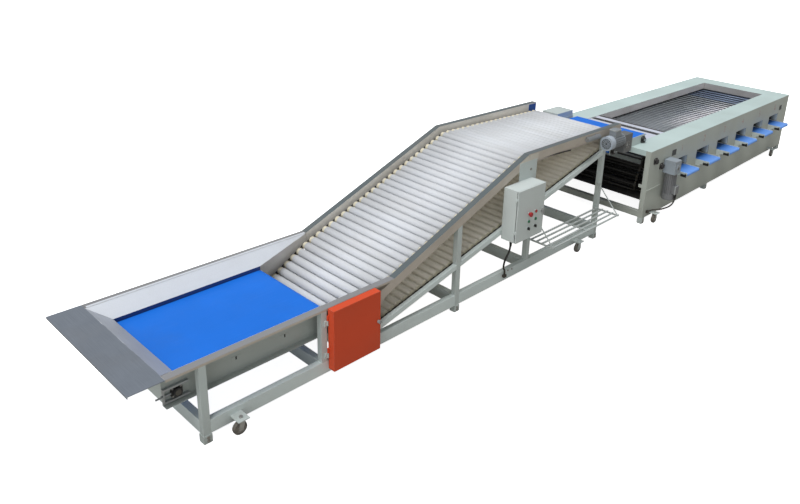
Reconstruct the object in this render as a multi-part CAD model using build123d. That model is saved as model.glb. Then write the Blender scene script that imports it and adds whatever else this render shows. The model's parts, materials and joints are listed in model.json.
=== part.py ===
from build123d import *
import math
import os

# Potato grading line: loading hopper, roller elevator, feed belt and rod grader.
# Sizes in mm. X runs from the hopper lip to the grader's far end, Y = 0 is the centre line with the
# operator at -Y, and Z = 0 is the floor. At export every node is moved so that the origin lies on the
# floor below the middle of the whole machine.

# Clearances
GAP = 2.0
CLEAR = 1.0
PLAY = 0.3
FIT = 0.05
END_PLAY = 0.5

# Hopper and elevator rails
HALF_WIDTH = 600.0
RIM_Z = 600.0
RAIL_TOP_Z = 1265.0
LOWER_BEND_X = 2075.0
UPPER_BEND_X = 3730.0
RAIL_END_X = 5360.0
FLANGE = 60.0
SHEET = 4.0
RIM_LIP = 18.0
WEB = 80.0
INNER_WEB = 100.0
TUBE = 50.0
FLANGE_IN = HALF_WIDTH - FLANGE
LEG_IN = HALF_WIDTH - TUBE
SIDE_PLATE = (FLANGE_IN + CLEAR, FLANGE_IN + CLEAR + SHEET)

# Hopper
APRON_FLAT = 230.0
APRON_SLOPE = 127.0
APRON_LIP = 16.0
BELT_DROP = 122.0
BELT_THICK = 4.0
BELT_SIDE = 67.0
DRUM_R = 50.0
DRUM_EXTRA = 5.0
DRUM_SHAFT_R = 20.0
TAIL_DRUM_BACK = 26.0
HEAD_DRUM_BACK = 565.0
BELT_END_OVER = 24.0
WALL_FOOT_LAP = 15.0
WALL_FOOT_LIFT = 34.0
WALL_SHEET = 3.0
CHANNEL_FLANGE = 50.0
CHANNEL_SHEET = 3.0
CHANNEL_DEPTH = 205.0
CHANNEL_DROP = 41.0
CHANNEL_LEAD = 10.0
CHANNEL_OVERRUN = 65.0
SLOT_RUNS = (393.0, 773.0)
SLOT_DROP = 17.0
SLOT_HALF_LENGTH = 22.0
SLOT_HALF_HEIGHT = 6.0
BED_TUBE = 36.0
BED_TUBE_PLACES = (0.12, 0.5, 0.88)
BED_BACK = 10.0
BELT_TOP = RIM_Z - BELT_DROP
BELT_START_X = APRON_FLAT + APRON_SLOPE
TAIL_DRUM_X = BELT_START_X - TAIL_DRUM_BACK
HEAD_DRUM_X = LOWER_BEND_X - HEAD_DRUM_BACK
BELT_END_X = HEAD_DRUM_X + BELT_END_OVER
BELT_AXIS_Z = BELT_TOP - BELT_THICK - PLAY - DRUM_R
CHANNEL_HALF = LEG_IN - CHANNEL_FLANGE
CHANNEL_START_X = APRON_FLAT + CHANNEL_LEAD
BELT_HALF = CHANNEL_HALF - BELT_SIDE
LINING_TOP = (FLANGE_IN - GAP, RIM_Z - GAP)
LINING_FOOT = (BELT_HALF - WALL_FOOT_LAP, BELT_TOP + WALL_FOOT_LIFT)

# Flange bearings
BEARING_HALF = 38.0
BEARING_CORNER = 13.0
BEARING_FLANGE = 12.0
BEARING_CAP = 34.0
BOSS_R = 30.0
BOSS_SIDES = 12

# Take-ups of the hopper belt, and the chain take-up unit on the near rail
TAKEUP_BAR = 14.0
TAKEUP_DEPTH = 22.0
TAKEUP_END = 8.0
TAKEUP_REACH = 75.0
SCREW_R = 6.0
SCREW_OUT = 45.0
NUT_R = 11.0
NUT_H = 10.0
UNIT_LENGTH = 230.0
UNIT_R = 24.0
UNIT_OUT = 28.0
UNIT_FOOT = 20.0
UNIT_FOOT_IN = 25.0
UNIT_FOOT_HALF = 22.0

# Roller strand
CHAIN_PITCH = 38.1
TEETH = 12
ROLLER_R = 33.0
ROLLER_SIDES = 12
CHAIN_SPACE = 40.0
AXLE_DEPTH = 72.0
STEEP_BACK = 45.0
STEEP = math.radians(31.0)
BEND_R = 120.0
TAIL_BACK = 395.0
HEAD_BACK = 110.0
HEAD_DIP = 30.0
LINK_HALF = 9.0
LINK_THICK = 4.0
LINK_SPACE = 12.0
SPROCKET_THICK = 8.0
TOOTH_TIP = 7.0
TOOTH_ROOT = 8.0
TOOTH_SHAPE = ((-0.3, -TOOTH_ROOT), (-0.12, TOOTH_TIP), (0.12, TOOTH_TIP), (0.3, -TOOTH_ROOT))
LEDGE_DROP = 15.0
STRAND_SHAFT_R = 20.0
TAIL_PLATE_FRONT = 100.0
TAIL_PLATE_BACK = 120.0
TAIL_PLATE_DROP = 85.0
TAIL_PLATE_KNEE = 25.0
HEAD_PLATE_FRONT = 120.0
HEAD_PLATE_FOOT = 60.0
HEAD_PLATE_DROP = 75.0
HEAD_ROOM = 20.0
ROLLER_HALF = FLANGE_IN - CHAIN_SPACE
STEEP_X = LOWER_BEND_X - STEEP_BACK
TAIL_X = LOWER_BEND_X - TAIL_BACK
HEAD_X = RAIL_END_X - HEAD_BACK
SPROCKET_R = CHAIN_PITCH / (2 * math.sin(math.pi / TEETH))
INCLINE = math.atan2(RAIL_TOP_Z - RIM_Z, UPPER_BEND_X - LOWER_BEND_X)
STEEP_Z = RIM_Z - AXLE_DEPTH / math.cos(INCLINE) - STEEP_BACK * math.tan(INCLINE)
STEEP_RUN = (STEEP_X + SPROCKET_R * math.sin(STEEP) - TAIL_X) / math.cos(STEEP)
TAIL_Z = STEEP_Z - STEEP_RUN * math.sin(STEEP) - SPROCKET_R * math.cos(STEEP)
TOP_FALL = math.atan2(HEAD_DIP, RAIL_END_X - UPPER_BEND_X)
TOP_WEB = INNER_WEB + HEAD_DIP
HEAD_RUN = HEAD_X - UPPER_BEND_X
HEAD_REACH = (AXLE_DEPTH + SPROCKET_R) / math.cos(TOP_FALL)
HEAD_Z = RAIL_TOP_Z - HEAD_RUN * math.tan(TOP_FALL) - HEAD_REACH
LINK_IN = (ROLLER_HALF, ROLLER_HALF + LINK_THICK)
LINK_OUT = (LINK_IN[1] + LINK_SPACE, LINK_IN[1] + LINK_SPACE + LINK_THICK)
WHEEL_GAP = (LINK_SPACE - SPROCKET_THICK) / 2
SPROCKET_Y = (LINK_IN[1] + WHEEL_GAP, LINK_OUT[0] - WHEEL_GAP)
RETURN_SLOPE = (HEAD_Z - TAIL_Z) / (HEAD_X - TAIL_X)
RETURN_DROP = SPROCKET_R / math.cos(math.atan(RETURN_SLOPE))

# Guard over the hopper drive
GUARD_FRONT = 83.0
GUARD_BACK = 190.0
GUARD_DROP = 111.0
GUARD_DEPTH = 68.0
GUARD_SHEET = 2.0
DRIVE_R = 60.0
DRIVE_TEETH = 15
DRIVE_GAP = 24.0
SHAFT_END = 10.0
HINGE_R = 6.0
PIN_R = 3.0
HINGE_H = 40.0
HINGE_OUT = 10.0
HINGE_LEAF = 24.0
HINGE_LOW = 138.0
HINGE_HIGH = 95.0
LATCH_UP = 249.0
LATCH_IN = 20.0
LATCH_STEM_R = 6.0
KNOB_R = 14.0
KNOB_H = 16.0
KNOB_WING = 8.0
KNOB_WING_H = 24.0
TONGUE_W = 16.0
TONGUE_THICK = 4.0
TONGUE_BACK = 12.0
TONGUE_LONG = 30.0
TONGUE_SHORT = 8.0
GUARD_X = (HEAD_DRUM_X - GUARD_FRONT, TAIL_X + GUARD_BACK)
GUARD_Z = (TAIL_Z - GUARD_DROP, RIM_Z)
DRIVE_OUT = HALF_WIDTH + DRIVE_GAP
DRIVE_SIDE = (-DRIVE_OUT - SPROCKET_THICK, -DRIVE_OUT)
SHAFT_NEAR = DRIVE_SIDE[0] - SHAFT_END
HINGE_X = GUARD_X[0] - HINGE_R - GAP
HINGE_Y = -HALF_WIDTH - HINGE_OUT
HINGE_ZS = (GUARD_Z[0] + HINGE_LOW, GUARD_Z[1] - HINGE_HIGH)
LATCH_X = GUARD_X[1] - LATCH_IN
LATCH_Z = GUARD_Z[0] + LATCH_UP
GUARD_FACE = -HALF_WIDTH - SHEET - GUARD_DEPTH

# Frame
BEAM_LOW = 65.0
BEAM_H = 100.0
FRONT_LEG_RUN = 104.0
POST_BACK = 32.0
MIDDLE_LEG_RUN = 752.0
BOX_LEG_RUN = 100.0
REAR_LEG_BACK = 287.0
SOLE = 10.0
SHOE_WALL = 5.0
SHOE_H = 60.0
RETURN_LIFT = 10.0
RETURN_H = 45.0
RETURN_W = 40.0
RETURN_START = 65.0
BEAM_Z = (BEAM_LOW, BEAM_LOW + BEAM_H)
FRONT_LEG_X = BELT_START_X + FRONT_LEG_RUN
POST_X = GUARD_X[0] - POST_BACK
MIDDLE_LEG_X = LOWER_BEND_X + MIDDLE_LEG_RUN
BOX_LEG_X = UPPER_BEND_X + BOX_LEG_RUN
REAR_LEG_X = RAIL_END_X - REAR_LEG_BACK

# Control box
BOX_W = 400.0
BOX_H = 500.0
BOX_DEPTH = 150.0
BOX_LEG_GAP = 45.0
BOX_DROP = 230.0
BOX_SHEET = 2.0
DOOR_DEPTH = 18.0
DOOR_CORNER = 8.0
BOX_HINGE_END = 90.0
BOX_HINGE_R = 5.0
BOX_HINGE_LEAF = 8.0
BRACKET_W = 255.0
BRACKET_LAP = 21.0
BRACKET_UP = 25.0
BRACKET_DROP = 60.0
BRACKET_THICK = 6.0
BUTTON_SIDES = (233.0, 131.0)
BUTTON_UPS = (250.0, 176.0, 106.0)
BUTTON_R = 14.0
BUTTON_RISE = 12.0
BUTTON_TRAVEL = 4.0
MUSHROOM_R = 22.0
MUSHROOM_H = 14.0
MUSHROOM_RISE = 34.0
COLLAR = 4.0
STEM_R = 6.0
GRIP_W = 8.0
GRIP_LENGTH = 26.0
GRIP_RISE = 24.0
SELECTOR_RISE = 10.0
HANDLE_SIDE = 34.0
HANDLE_UP = 234.0
HANDLE_R = 15.0
HANDLE_BASE = 8.0
HANDLE_RISE = 22.0
HANDLE_W = 12.0
HANDLE_DOWN = 38.0
HANDLE_OVER = 12.0
CATCH_W = 14.0
CATCH_THICK = 3.0
CATCH_DOWN = 20.0
CATCH_OVER = 7.0
GEAR_PLATE = 4.0
GEAR_PLATE_IN = 30.0
MODULES = 4
MODULE_START = 60.0
MODULE_PITCH = 75.0
MODULE_W = 55.0
MODULE_DEPTH = 70.0
MODULE_Z = (180.0, 95.0)
TERMINALS_DEPTH = 40.0
TERMINALS_Z = (70.0, 115.0)
BOX_X = (BOX_LEG_X - BOX_LEG_GAP - BOX_W, BOX_LEG_X - BOX_LEG_GAP)
BOX_Z = (RAIL_TOP_Z - BOX_DROP - BOX_H, RAIL_TOP_Z - BOX_DROP)
BOX_BACK = -HALF_WIDTH - BRACKET_THICK
BOX_FRONT = BOX_BACK - BOX_DEPTH
DOOR_BACK = BOX_FRONT - GAP
DOOR_FRONT = DOOR_BACK - DOOR_DEPTH
STEM_END = DOOR_BACK - GAP
BOX_HINGE_X = BOX_X[0] - HINGE_R
BOX_HINGE_Y = BOX_FRONT + GAP
BOX_HINGE_ZS = (BOX_Z[0] + BOX_HINGE_END, BOX_Z[1] - BOX_HINGE_END)
BUTTON_XS = [BOX_X[1] - side for side in BUTTON_SIDES]
BUTTON_ZS = [BOX_Z[0] + up for up in BUTTON_UPS]
HANDLE_XZ = (BOX_X[1] - HANDLE_SIDE, BOX_Z[0] + HANDLE_UP)

# Tool shelf
SHELF_Z = 375.0
SHELF_REACH = 280.0
SHELF_RODS = 5
SHELF_ROD_R = 10.0
SHELF_BAR = 14.0
SHELF_BACK = 10.0
STRUT_RISE = 265.0
STRUT_R = 6.0
STRUT_DROP = 4.0
LUG_DEPTH = 8.0
LUG_HALF = 15.0

# Feed belt
FEED_DROP = 305.0
FEED_IN = 10.0
FEED_DRUM_R = 30.0
FEED_DRUM_EXTRA = 4.0
FEED_SHAFT_R = 15.0
FEED_TAIL_RUN = 35.0
FEED_HEAD_RUN = 253.0
FEED_SIDE = 16.0
FEED_PLATE = 6.0
FEED_PLATE_RISE = 25.0
FEED_PLATE_ENDS = (50.0, 53.0)
FEED_BED = 12.0
COVER_ENDS = (282.0, 48.0)
COVER_OVER = 90.0
COVER_W = 228.0
FEED_TOP = RAIL_TOP_Z - FEED_DROP
FEED_HALF = ROLLER_HALF - FEED_IN
FEED_AXIS_Z = FEED_TOP - BELT_THICK - PLAY - FEED_DRUM_R
FEED_PLATE_Y = (FEED_HALF + FEED_SIDE, FEED_HALF + FEED_SIDE + FEED_PLATE)

# Grader body
GRADER_GAP = 459.0
GRADER_LENGTH = 4469.0
GRADER_HALF = 773.0
GRADER_DROP = 74.0
PANEL = 3.0
PANEL_FOOT = 75.0
POST = 60.0
RAIL_H = 70.0
OPENING_ENDS = (321.0, 358.0)
OPENING_SIDE = 293.0
WALL_GAP = 28.0
TRAY_GAP = 4.0
TRAY_LENGTH = 386.0
FEED_BAR_RUN = 480.0
FEED_BAR_W = 90.0
TRAY_DROP = 10.0
FRONT_LIP = 60.0
LEDGE_LOW = 408.0
LEDGE_H = 12.0
LEDGE_OUT = 10.0
HATCH = (110.0, 75.0)
HATCH_ENDS = (595.0, 302.0)
HATCH_DROPS = (129.0, 158.0)
GRADER_X = (RAIL_END_X + GRADER_GAP, RAIL_END_X + GRADER_GAP + GRADER_LENGTH)
GRADER_TOP = FEED_TOP - GRADER_DROP
PANEL_IN = GRADER_HALF - PANEL
POST_Y = (PANEL_IN - POST, PANEL_IN)
OPENING_X = (GRADER_X[0] + OPENING_ENDS[0], GRADER_X[1] - OPENING_ENDS[1])
OPENING_HALF = GRADER_HALF - OPENING_SIDE
FEED_TAIL_X = RAIL_END_X + FEED_TAIL_RUN
FEED_HEAD_X = GRADER_X[0] + FEED_HEAD_RUN

# Grading rods
ROD_DROP = 124.0
ROD_R = 12.0
ROD_SIDES = 8
ROD_LAP = 40.0
ROD_PITCH_START = 45.0
ROD_PITCH_END = 150.0
ROD_PITCH_RETURN = 110.0
ROD_LEAST_SHARE = 0.6
ROD_WHEEL_R = 122.0
ROD_TEETH = 20
ROD_START_RUN = 5.0
ROD_END_BACK = 20.0
DRIVE_SHAFT_RUN = 416.0
END_SHAFT_BACK = 228.0
RETURN_FRONT = 165.0
RETURN_BACK = 40.0
RETURN_UNDER = 145.0
RETURN_R = 70.0
GRADER_SHAFT_R = 20.0
TRACK_OUT = 20.0
TRACK_THICK = 8.0
TRACK_END_SHARE = 0.75
IDLER_RUNS = (131.0, 293.0)
IDLER_UPS = (110.0, 15.0)
ROD_Z = GRADER_TOP - ROD_DROP
ROD_HALF = OPENING_HALF + ROD_LAP
ROD_SHAFT_Z = ROD_Z - ROD_WHEEL_R
WALL_BOTTOM = ROD_Z + WALL_GAP
DRIVE_SHAFT_X = GRADER_X[0] + DRIVE_SHAFT_RUN
END_SHAFT_X = GRADER_X[1] - END_SHAFT_BACK
ROD_LINK_IN = (ROD_HALF, ROD_HALF + LINK_THICK)
ROD_LINK_OUT = (ROD_LINK_IN[1] + LINK_SPACE, ROD_LINK_IN[1] + LINK_SPACE + LINK_THICK)
ROD_WHEEL_Y = (ROD_LINK_IN[1] + WHEEL_GAP, ROD_LINK_OUT[0] - WHEEL_GAP)

# Outlets
OUTLETS = 6
OUTLET_START = 639.0
OUTLET_END = 385.0
OUTLET_W = 335.0
OUTLET_DROP = 257.0
OUTLET_PLATE = 6.0
OUTLET_PLATE_H = 54.0
OUTLET_REACH = 182.0
OUTLET_BACK_GAP = 183.0
OUTLET_ROLLER_R = 18.0
OUTLET_BELT = 3.0
OUTLET_SHAFT_R = 10.0
OUTLET_SHAFT_OVER = 40.0
OUTLET_STUB_R = 6.0
OUTLET_RAIL = 40.0
NOSE_IN = 15.0
TAIL_IN = 30.0
SLAT_HALF = 30.0
SLAT_UNDER = 8.0
SLAT_FRONT = 120.0
SLAT_BACK = 90.0
FOOT_W = 40.0
FOOT_DEPTH = 60.0
FOOT_H = 30.0
WINDOW_SIDE = 8.0
WINDOW_UNDER = 35.0
WINDOW_OVER = 145.0
OUTLET_X = GRADER_X[0] + OUTLET_START
OUTLET_PITCH = (GRADER_LENGTH - OUTLET_START - OUTLET_END - OUTLET_W) / (OUTLETS - 1)
OUTLET_XS = [OUTLET_X + k * OUTLET_PITCH for k in range(OUTLETS)]
OUTLET_AXIS_Z = ROD_Z - OUTLET_DROP
OUTLET_PLATE_Z = (OUTLET_AXIS_Z - OUTLET_PLATE_H / 2, OUTLET_AXIS_Z + OUTLET_PLATE_H / 2)
OUTLET_FRONT = -GRADER_HALF - OUTLET_REACH
OUTLET_BACK = GRADER_HALF - OUTLET_BACK_GAP
NOSE_Y = OUTLET_FRONT + NOSE_IN
OUTLET_TAIL_Y = OUTLET_BACK - TAIL_IN
RETURN_Z = OUTLET_AXIS_Z - RETURN_UNDER
MID_POST_X = (OUTLET_XS[1] + OUTLET_W + OUTLET_XS[2]) / 2
POST_XS = (GRADER_X[0], MID_POST_X - POST / 2, GRADER_X[1] - PANEL - POST)

# Casters
WHEEL_R = 50.0
WHEEL_W = 32.0
WHEEL_LIFT = 2.0
HUB_R = 12.0
TRAIL = 14.0
CASTER_OUT = 65.0
GRADER_CASTER_OUT = 70.0
CASTER_ENDS = (203.0, 423.0)
GRADER_CASTER_ENDS = (171.0, 528.0)
PLATE_HALF = 42.0
PLATE_THICK = 6.0
KINGPIN_R = 8.0
KINGPIN_NUT_R = 13.0
KINGPIN_NUT_H = 9.0
CROWN_R = 30.0
CROWN_GAP = 4.0
CROWN_H = 11.5
AXLE_R = 6.0
CHEEK = 5.0
CHEEK_FOOT = 14.0
CHEEK_TOP = 22.0
WHEEL_Z = WHEEL_R + WHEEL_LIFT
CHEEK_Y = (WHEEL_W / 2 + GAP, WHEEL_W / 2 + GAP + CHEEK)
CROWN_Z = (WHEEL_Z + WHEEL_R + CROWN_GAP, WHEEL_Z + WHEEL_R + CROWN_GAP + CROWN_H)
PLATE_Z = (CROWN_Z[1] + END_PLAY, CROWN_Z[1] + END_PLAY + PLATE_THICK)
ELEVATOR_CASTER_XS = (FRONT_LEG_X + CASTER_ENDS[0], REAR_LEG_X - CASTER_ENDS[1])
GRADER_CASTER_XS = (GRADER_X[0] + GRADER_CASTER_ENDS[0], GRADER_X[1] - GRADER_CASTER_ENDS[1])

# Gearmotors
GEAR_Y = 105.0
GEAR_HALF = 55.0
GEAR_FRONT = 60.0
GEAR_BACK = 100.0
GEAR_UNDER = 86.0
GEAR_OVER = 111.0
GEAR_CAP = 8.0
GEAR_CAP_R = 44.0
GEAR_FLANGE = 14.0
GEAR_FLANGE_R = 50.0
GEAR_ARM = (10.0, 60.0)
GEAR_ARM_H = 12.0
GEAR_SHAFT_END = 4.0
WORM_OFFSET = 61.0
MOTOR_R = 72.0
FIN_ROOT = 62.0
FINS = 20
MOTOR_LENGTH = 280.0
FAN_COVER = 72.0
FAN_COVER_EXTRA = 3.0
FAN_COVER_LAP = 2.0
MOTOR_NECK = 16.0
NECK_IN = 4.0
TERMINAL_START = 105.0
TERMINAL_LENGTH = 100.0
TERMINAL_HALF = 40.0
TERMINAL_IN = 50.0
TERMINAL_OUT = 132.0
GRADER_GEAR_Y = 84.0
GRADER_GEAR_HALF = (72.0, 75.0)
GRADER_GEAR_UNDER = 70.0
GRADER_GEAR_OVER = 90.0
GRADER_CAP_R = 48.0
GRADER_FLANGE_R = 56.0
GRADER_MOTOR_LENGTH = 325.0
GRADER_TERMINAL_START = 82.0
GRADER_TERMINAL_LENGTH = 95.0
GRADER_TERMINAL_OUT = 104.0
GEAR_X = (HEAD_X - GEAR_FRONT, HEAD_X + GEAR_BACK)
GEAR_Z = (HEAD_Z - GEAR_UNDER, HEAD_Z + GEAR_OVER)
MOTOR_END_X = GEAR_X[0] - MOTOR_LENGTH
UNIT_X = (MOTOR_END_X - UNIT_OUT - UNIT_LENGTH, MOTOR_END_X - UNIT_OUT)
GRADER_GEAR_Z = (ROD_SHAFT_Z - GRADER_GEAR_UNDER, ROD_SHAFT_Z + GRADER_GEAR_OVER)
GRADER_MOTOR_Y = -GRADER_HALF - GRADER_GEAR_Y
GRADER_MOTOR_Z = GRADER_GEAR_Z[0] - GRADER_MOTOR_LENGTH
MOTOR_BOX_Z = GRADER_MOTOR_Z + GRADER_TERMINAL_START

# Cables and their fittings
CABLE_R = 9.0
MOTOR_CABLE_R = 9.0
GLAND_H = 26.0
GLAND_WALL = 5.0
GLAND_IN = 55.0
GLAND_FRONT = 75.0
GLAND_HOLE = 3.0
CLAMP_IN = 82.0
CLAMP_UP = 56.0
CLAMP_DEPTH = 26.0
CLAMP_HALF = 13.0
CLAMP_SIDES = (16.0, 22.0)
CLAMP_OFFSET = 3.0
ENTRY_RUN = 86.0
ENTRY_Z = 140.0
ENTRY_DEPTH = 24.0
ENTRY_HALF = 14.0
ENTRY_SIDES = (20.0, 15.0)
MOTOR_GLAND_OUT = 90.0
GLAND_X = BOX_X[0] + GLAND_IN
GLAND_Y = BOX_BACK - GLAND_FRONT
CLAMP_XZ = (BOX_X[0] + CLAMP_IN, BEAM_Z[0] + CLAMP_UP)
ENTRY_X = GRADER_X[0] + ENTRY_RUN
MOTOR_GLAND_Y = GRADER_MOTOR_Y - MOTOR_GLAND_OUT


def block(x, y, z):
    """Box between the low and high value of each axis."""
    return Pos(x[0], y[0], z[0]) * Solid.make_box(x[1] - x[0], y[1] - y[0], z[1] - z[0])


def round_x(x, y, z, r):
    """Cylinder along X."""
    return Solid.make_cylinder(r, x[1] - x[0], Plane((x[0], y, z), z_dir=(1, 0, 0)))


def round_y(x, y, z, r):
    """Cylinder along Y."""
    return Solid.make_cylinder(r, y[1] - y[0], Plane((x, y[0], z), z_dir=(0, 1, 0)))


def round_z(x, y, z, r):
    """Cylinder along Z."""
    return Solid.make_cylinder(r, z[1] - z[0], Plane((x, y, z[0]), z_dir=(0, 0, 1)))


def between(a, b, r):
    """Cylinder from point a to point b."""
    way = Vector(*b) - Vector(*a)
    return Solid.make_cylinder(r, way.length, Plane(a, z_dir=way))


def outline_xz(points, y):
    """Outline of (x, z) points drawn out along Y."""
    face = make_face(Polyline(*[(px, y[0], pz) for px, pz in points], close=True))
    return extrude(face, amount=y[1] - y[0], dir=(0, 1, 0))


def ring_points(x, z, r, sides):
    """Corners of a regular outline round (x, z)."""
    turns = [2 * math.pi * (k + 0.5) / sides for k in range(sides)]
    return [(x + r * math.cos(a), z + r * math.sin(a)) for a in turns]


def sheet(points, thick, way):
    """Flat sheet on 3D corner points, thickened along a direction."""
    face = make_face(Polyline(*points, close=True))
    return extrude(face, amount=thick, dir=way)


def pair(shape):
    """A piece and its mirror image across the centre line."""
    return [shape, mirror(shape, about=Plane.XZ)]


def wider(span, amount):
    """A low and high value moved apart by the same amount."""
    return (span[0] - amount, span[1] + amount)


def hull(circles, grow):
    """Outline pulled tight round circles (u, v, r), each grown by the same amount."""
    return make_hull([Pos(u, v) * Edge.make_circle(r + grow) for u, v, r in circles])


def band_xz(circles, inner, outer, y):
    """Closed band round circles in the X-Z plane, between two offsets."""
    ring = hull(circles, outer) - hull(circles, inner)
    return extrude(Plane.XZ.offset(-y[1]) * ring, amount=y[1] - y[0])


def spaced(circles, pitch):
    """Points spread evenly along the path round circles, at about one pitch."""
    path = hull(circles, 0).faces()[0].outer_wire()
    count = round(path.length / pitch)
    step = path.length / count
    spots = [path.position_at(k * step, position_mode=PositionMode.LENGTH) for k in range(count)]
    return [(spot.X, spot.Y) for spot in spots]


def offset_path(points, depth):
    """Path parallel to an x-z polyline at a depth below it, mitred at the bends."""
    slopes = [math.atan2(b[1] - a[1], b[0] - a[0]) for a, b in zip(points, points[1:])]
    moved = []
    for k, (x, z) in enumerate(points):
        before = slopes[max(k - 1, 0)]
        after = slopes[min(k, len(slopes) - 1)]
        mid = (before + after) / 2
        reach = depth / math.cos((before - after) / 2)
        moved.append((x + reach * math.sin(mid), z - reach * math.cos(mid)))
    return moved


RAIL_PATH = [
    (APRON_FLAT, RIM_Z),
    (LOWER_BEND_X, RIM_Z),
    (UPPER_BEND_X, RAIL_TOP_Z),
    (RAIL_END_X, RAIL_TOP_Z),
]
STRAND_PATH = RAIL_PATH[:3] + [(RAIL_END_X, RAIL_TOP_Z - HEAD_DIP)]


def rail_under(x, depth):
    """Height of the rail's underside at x, for a section of the given depth."""
    path = offset_path(RAIL_PATH, depth)
    for a, b in zip(path, path[1:]):
        if x <= b[0]:
            break
    return a[1] + (b[1] - a[1]) * (x - a[0]) / (b[0] - a[0])


def corner_circle(x, z, before, after, r):
    """Circle below a bend of the strand, touching the runs on both sides."""
    mid = (before + after) / 2
    reach = r / math.cos((before - after) / 2)
    return (x + reach * math.sin(mid), z - reach * math.cos(mid), r)


def strand_circles():
    """Wheels and bends that the roller strand runs round."""
    knee = offset_path(STRAND_PATH, AXLE_DEPTH)[2]
    return [
        (TAIL_X, TAIL_Z, SPROCKET_R),
        corner_circle(STEEP_X, STEEP_Z, STEEP, INCLINE, BEND_R),
        corner_circle(*knee, INCLINE, -TOP_FALL, BEND_R),
        (HEAD_X, HEAD_Z, SPROCKET_R),
    ]


def rod_circles():
    """Wheels and return guides that the rod chains run round."""
    return [
        (DRIVE_SHAFT_X, ROD_SHAFT_Z, ROD_WHEEL_R),
        (DRIVE_SHAFT_X - RETURN_FRONT, RETURN_Z, RETURN_R),
        (END_SHAFT_X + RETURN_BACK, RETURN_Z, RETURN_R),
        (END_SHAFT_X, ROD_SHAFT_Z, ROD_WHEEL_R),
    ]


def hopper_plates():
    """Bent loading apron and the two sloped wall sheets."""
    bend_x = APRON_FLAT - GAP
    top = [(0, RIM_Z), (bend_x, RIM_Z), (BELT_START_X, LINING_FOOT[1])]
    under = offset_path(top, SHEET)
    lip_z = RIM_Z - APRON_LIP
    profile = top + [under[2], under[1], (SHEET, under[0][1]), (SHEET, lip_z), (0, lip_z)]
    apron = outline_xz(profile, (-HALF_WIDTH, HALF_WIDTH))
    outside = HALF_WIDTH + CLEAR
    mitre = [(bend_x, LINING_TOP[0] - GAP), (BELT_START_X, LINING_FOOT[0] - GAP)]
    mitre += [(BELT_START_X + TUBE, outside), (bend_x, outside)]
    trim = extrude(make_face(Polyline(*mitre, close=True)), amount=RIM_Z + CLEAR)
    for cut in pair(trim):
        apron = apron - cut
    corners = [(APRON_FLAT, LINING_TOP), (BELT_START_X, LINING_FOOT)]
    corners += [(BELT_END_X, LINING_FOOT), (LOWER_BEND_X, LINING_TOP)]
    drop = LINING_TOP[1] - LINING_FOOT[1]
    spread = LINING_TOP[0] - LINING_FOOT[0]
    lining = sheet([(x, y, z) for x, (y, z) in corners], WALL_SHEET, (0, drop, -spread))
    return [apron] + pair(lining)


def belt_channels():
    """Side channels of the hopper belt with the slider bed and its cross tubes."""
    x = (CHANNEL_START_X, HEAD_DRUM_X + CHANNEL_OVERRUN)
    top = RIM_Z - CHANNEL_DROP
    bottom = top - CHANNEL_DEPTH
    web_y = (CHANNEL_HALF - CHANNEL_SHEET, CHANNEL_HALF)
    channel = block(x, web_y, (bottom, top))
    for low in (bottom, top - CHANNEL_SHEET):
        channel = channel + block(x, (web_y[0], LEG_IN), (low, low + CHANNEL_SHEET))
    for drum_x in (TAIL_DRUM_X, HEAD_DRUM_X):
        channel = channel - round_y(drum_x, web_y, BELT_AXIS_Z, DRUM_SHAFT_R + GAP)
    slot_z = BELT_TOP - SLOT_DROP
    for run in SLOT_RUNS:
        slot_x = BELT_START_X + run
        slot = wider((slot_x, slot_x), SLOT_HALF_LENGTH)
        channel = channel - block(slot, web_y, wider((slot_z, slot_z), SLOT_HALF_HEIGHT))
    bed_top = BELT_TOP - BELT_THICK - PLAY - CLEAR
    bed_x = (TAIL_DRUM_X + DRUM_R + BED_BACK, HEAD_DRUM_X - DRUM_R - BED_BACK)
    bed = block(bed_x, (-BELT_HALF, BELT_HALF), (bed_top - SHEET, bed_top))
    tubes = []
    for place in BED_TUBE_PLACES:
        mid = bed_x[0] + place * (bed_x[1] - bed_x[0])
        z = (bed_top - SHEET - BED_TUBE, bed_top - SHEET)
        tubes.append(block(wider((mid, mid), BED_TUBE / 2), (-web_y[0], web_y[0]), z))
    return pair(channel) + [bed] + tubes


def drum(x, z, r, half, shaft_r, y):
    """Belt drum with its shaft."""
    return round_y(x, (-half, half), z, r) + round_y(x, y, z, shaft_r)


def hopper_belt():
    """Closed belt round the two hopper drums."""
    circles = [(TAIL_DRUM_X, BELT_AXIS_Z, DRUM_R), (HEAD_DRUM_X, BELT_AXIS_Z, DRUM_R)]
    return [band_xz(circles, PLAY, PLAY + BELT_THICK, (-BELT_HALF, BELT_HALF))]


def drive_wheel(x, z, r, teeth, y):
    """Toothed chain wheel of pitch radius r."""
    points = []
    for k in range(teeth):
        for turn, reach in TOOTH_SHAPE:
            a = 2 * math.pi * (k + turn) / teeth
            points.append((x + (r + reach) * math.cos(a), z + (r + reach) * math.sin(a)))
    return outline_xz(points, y)


def hopper_tail_drum():
    """Tail drum of the hopper belt."""
    reach = CHANNEL_HALF + BEARING_CAP
    half = BELT_HALF + DRUM_EXTRA
    return [drum(TAIL_DRUM_X, BELT_AXIS_Z, DRUM_R, half, DRUM_SHAFT_R, (-reach, reach))]


def hopper_head_drum():
    """Head drum of the hopper belt with its drive wheel behind the guard."""
    y = (SHAFT_NEAR, CHANNEL_HALF + BEARING_CAP)
    wheel = drive_wheel(HEAD_DRUM_X, BELT_AXIS_Z, DRIVE_R, DRIVE_TEETH, DRIVE_SIDE)
    return [drum(HEAD_DRUM_X, BELT_AXIS_Z, DRUM_R, BELT_HALF + DRUM_EXTRA, DRUM_SHAFT_R, y) + wheel]


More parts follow.
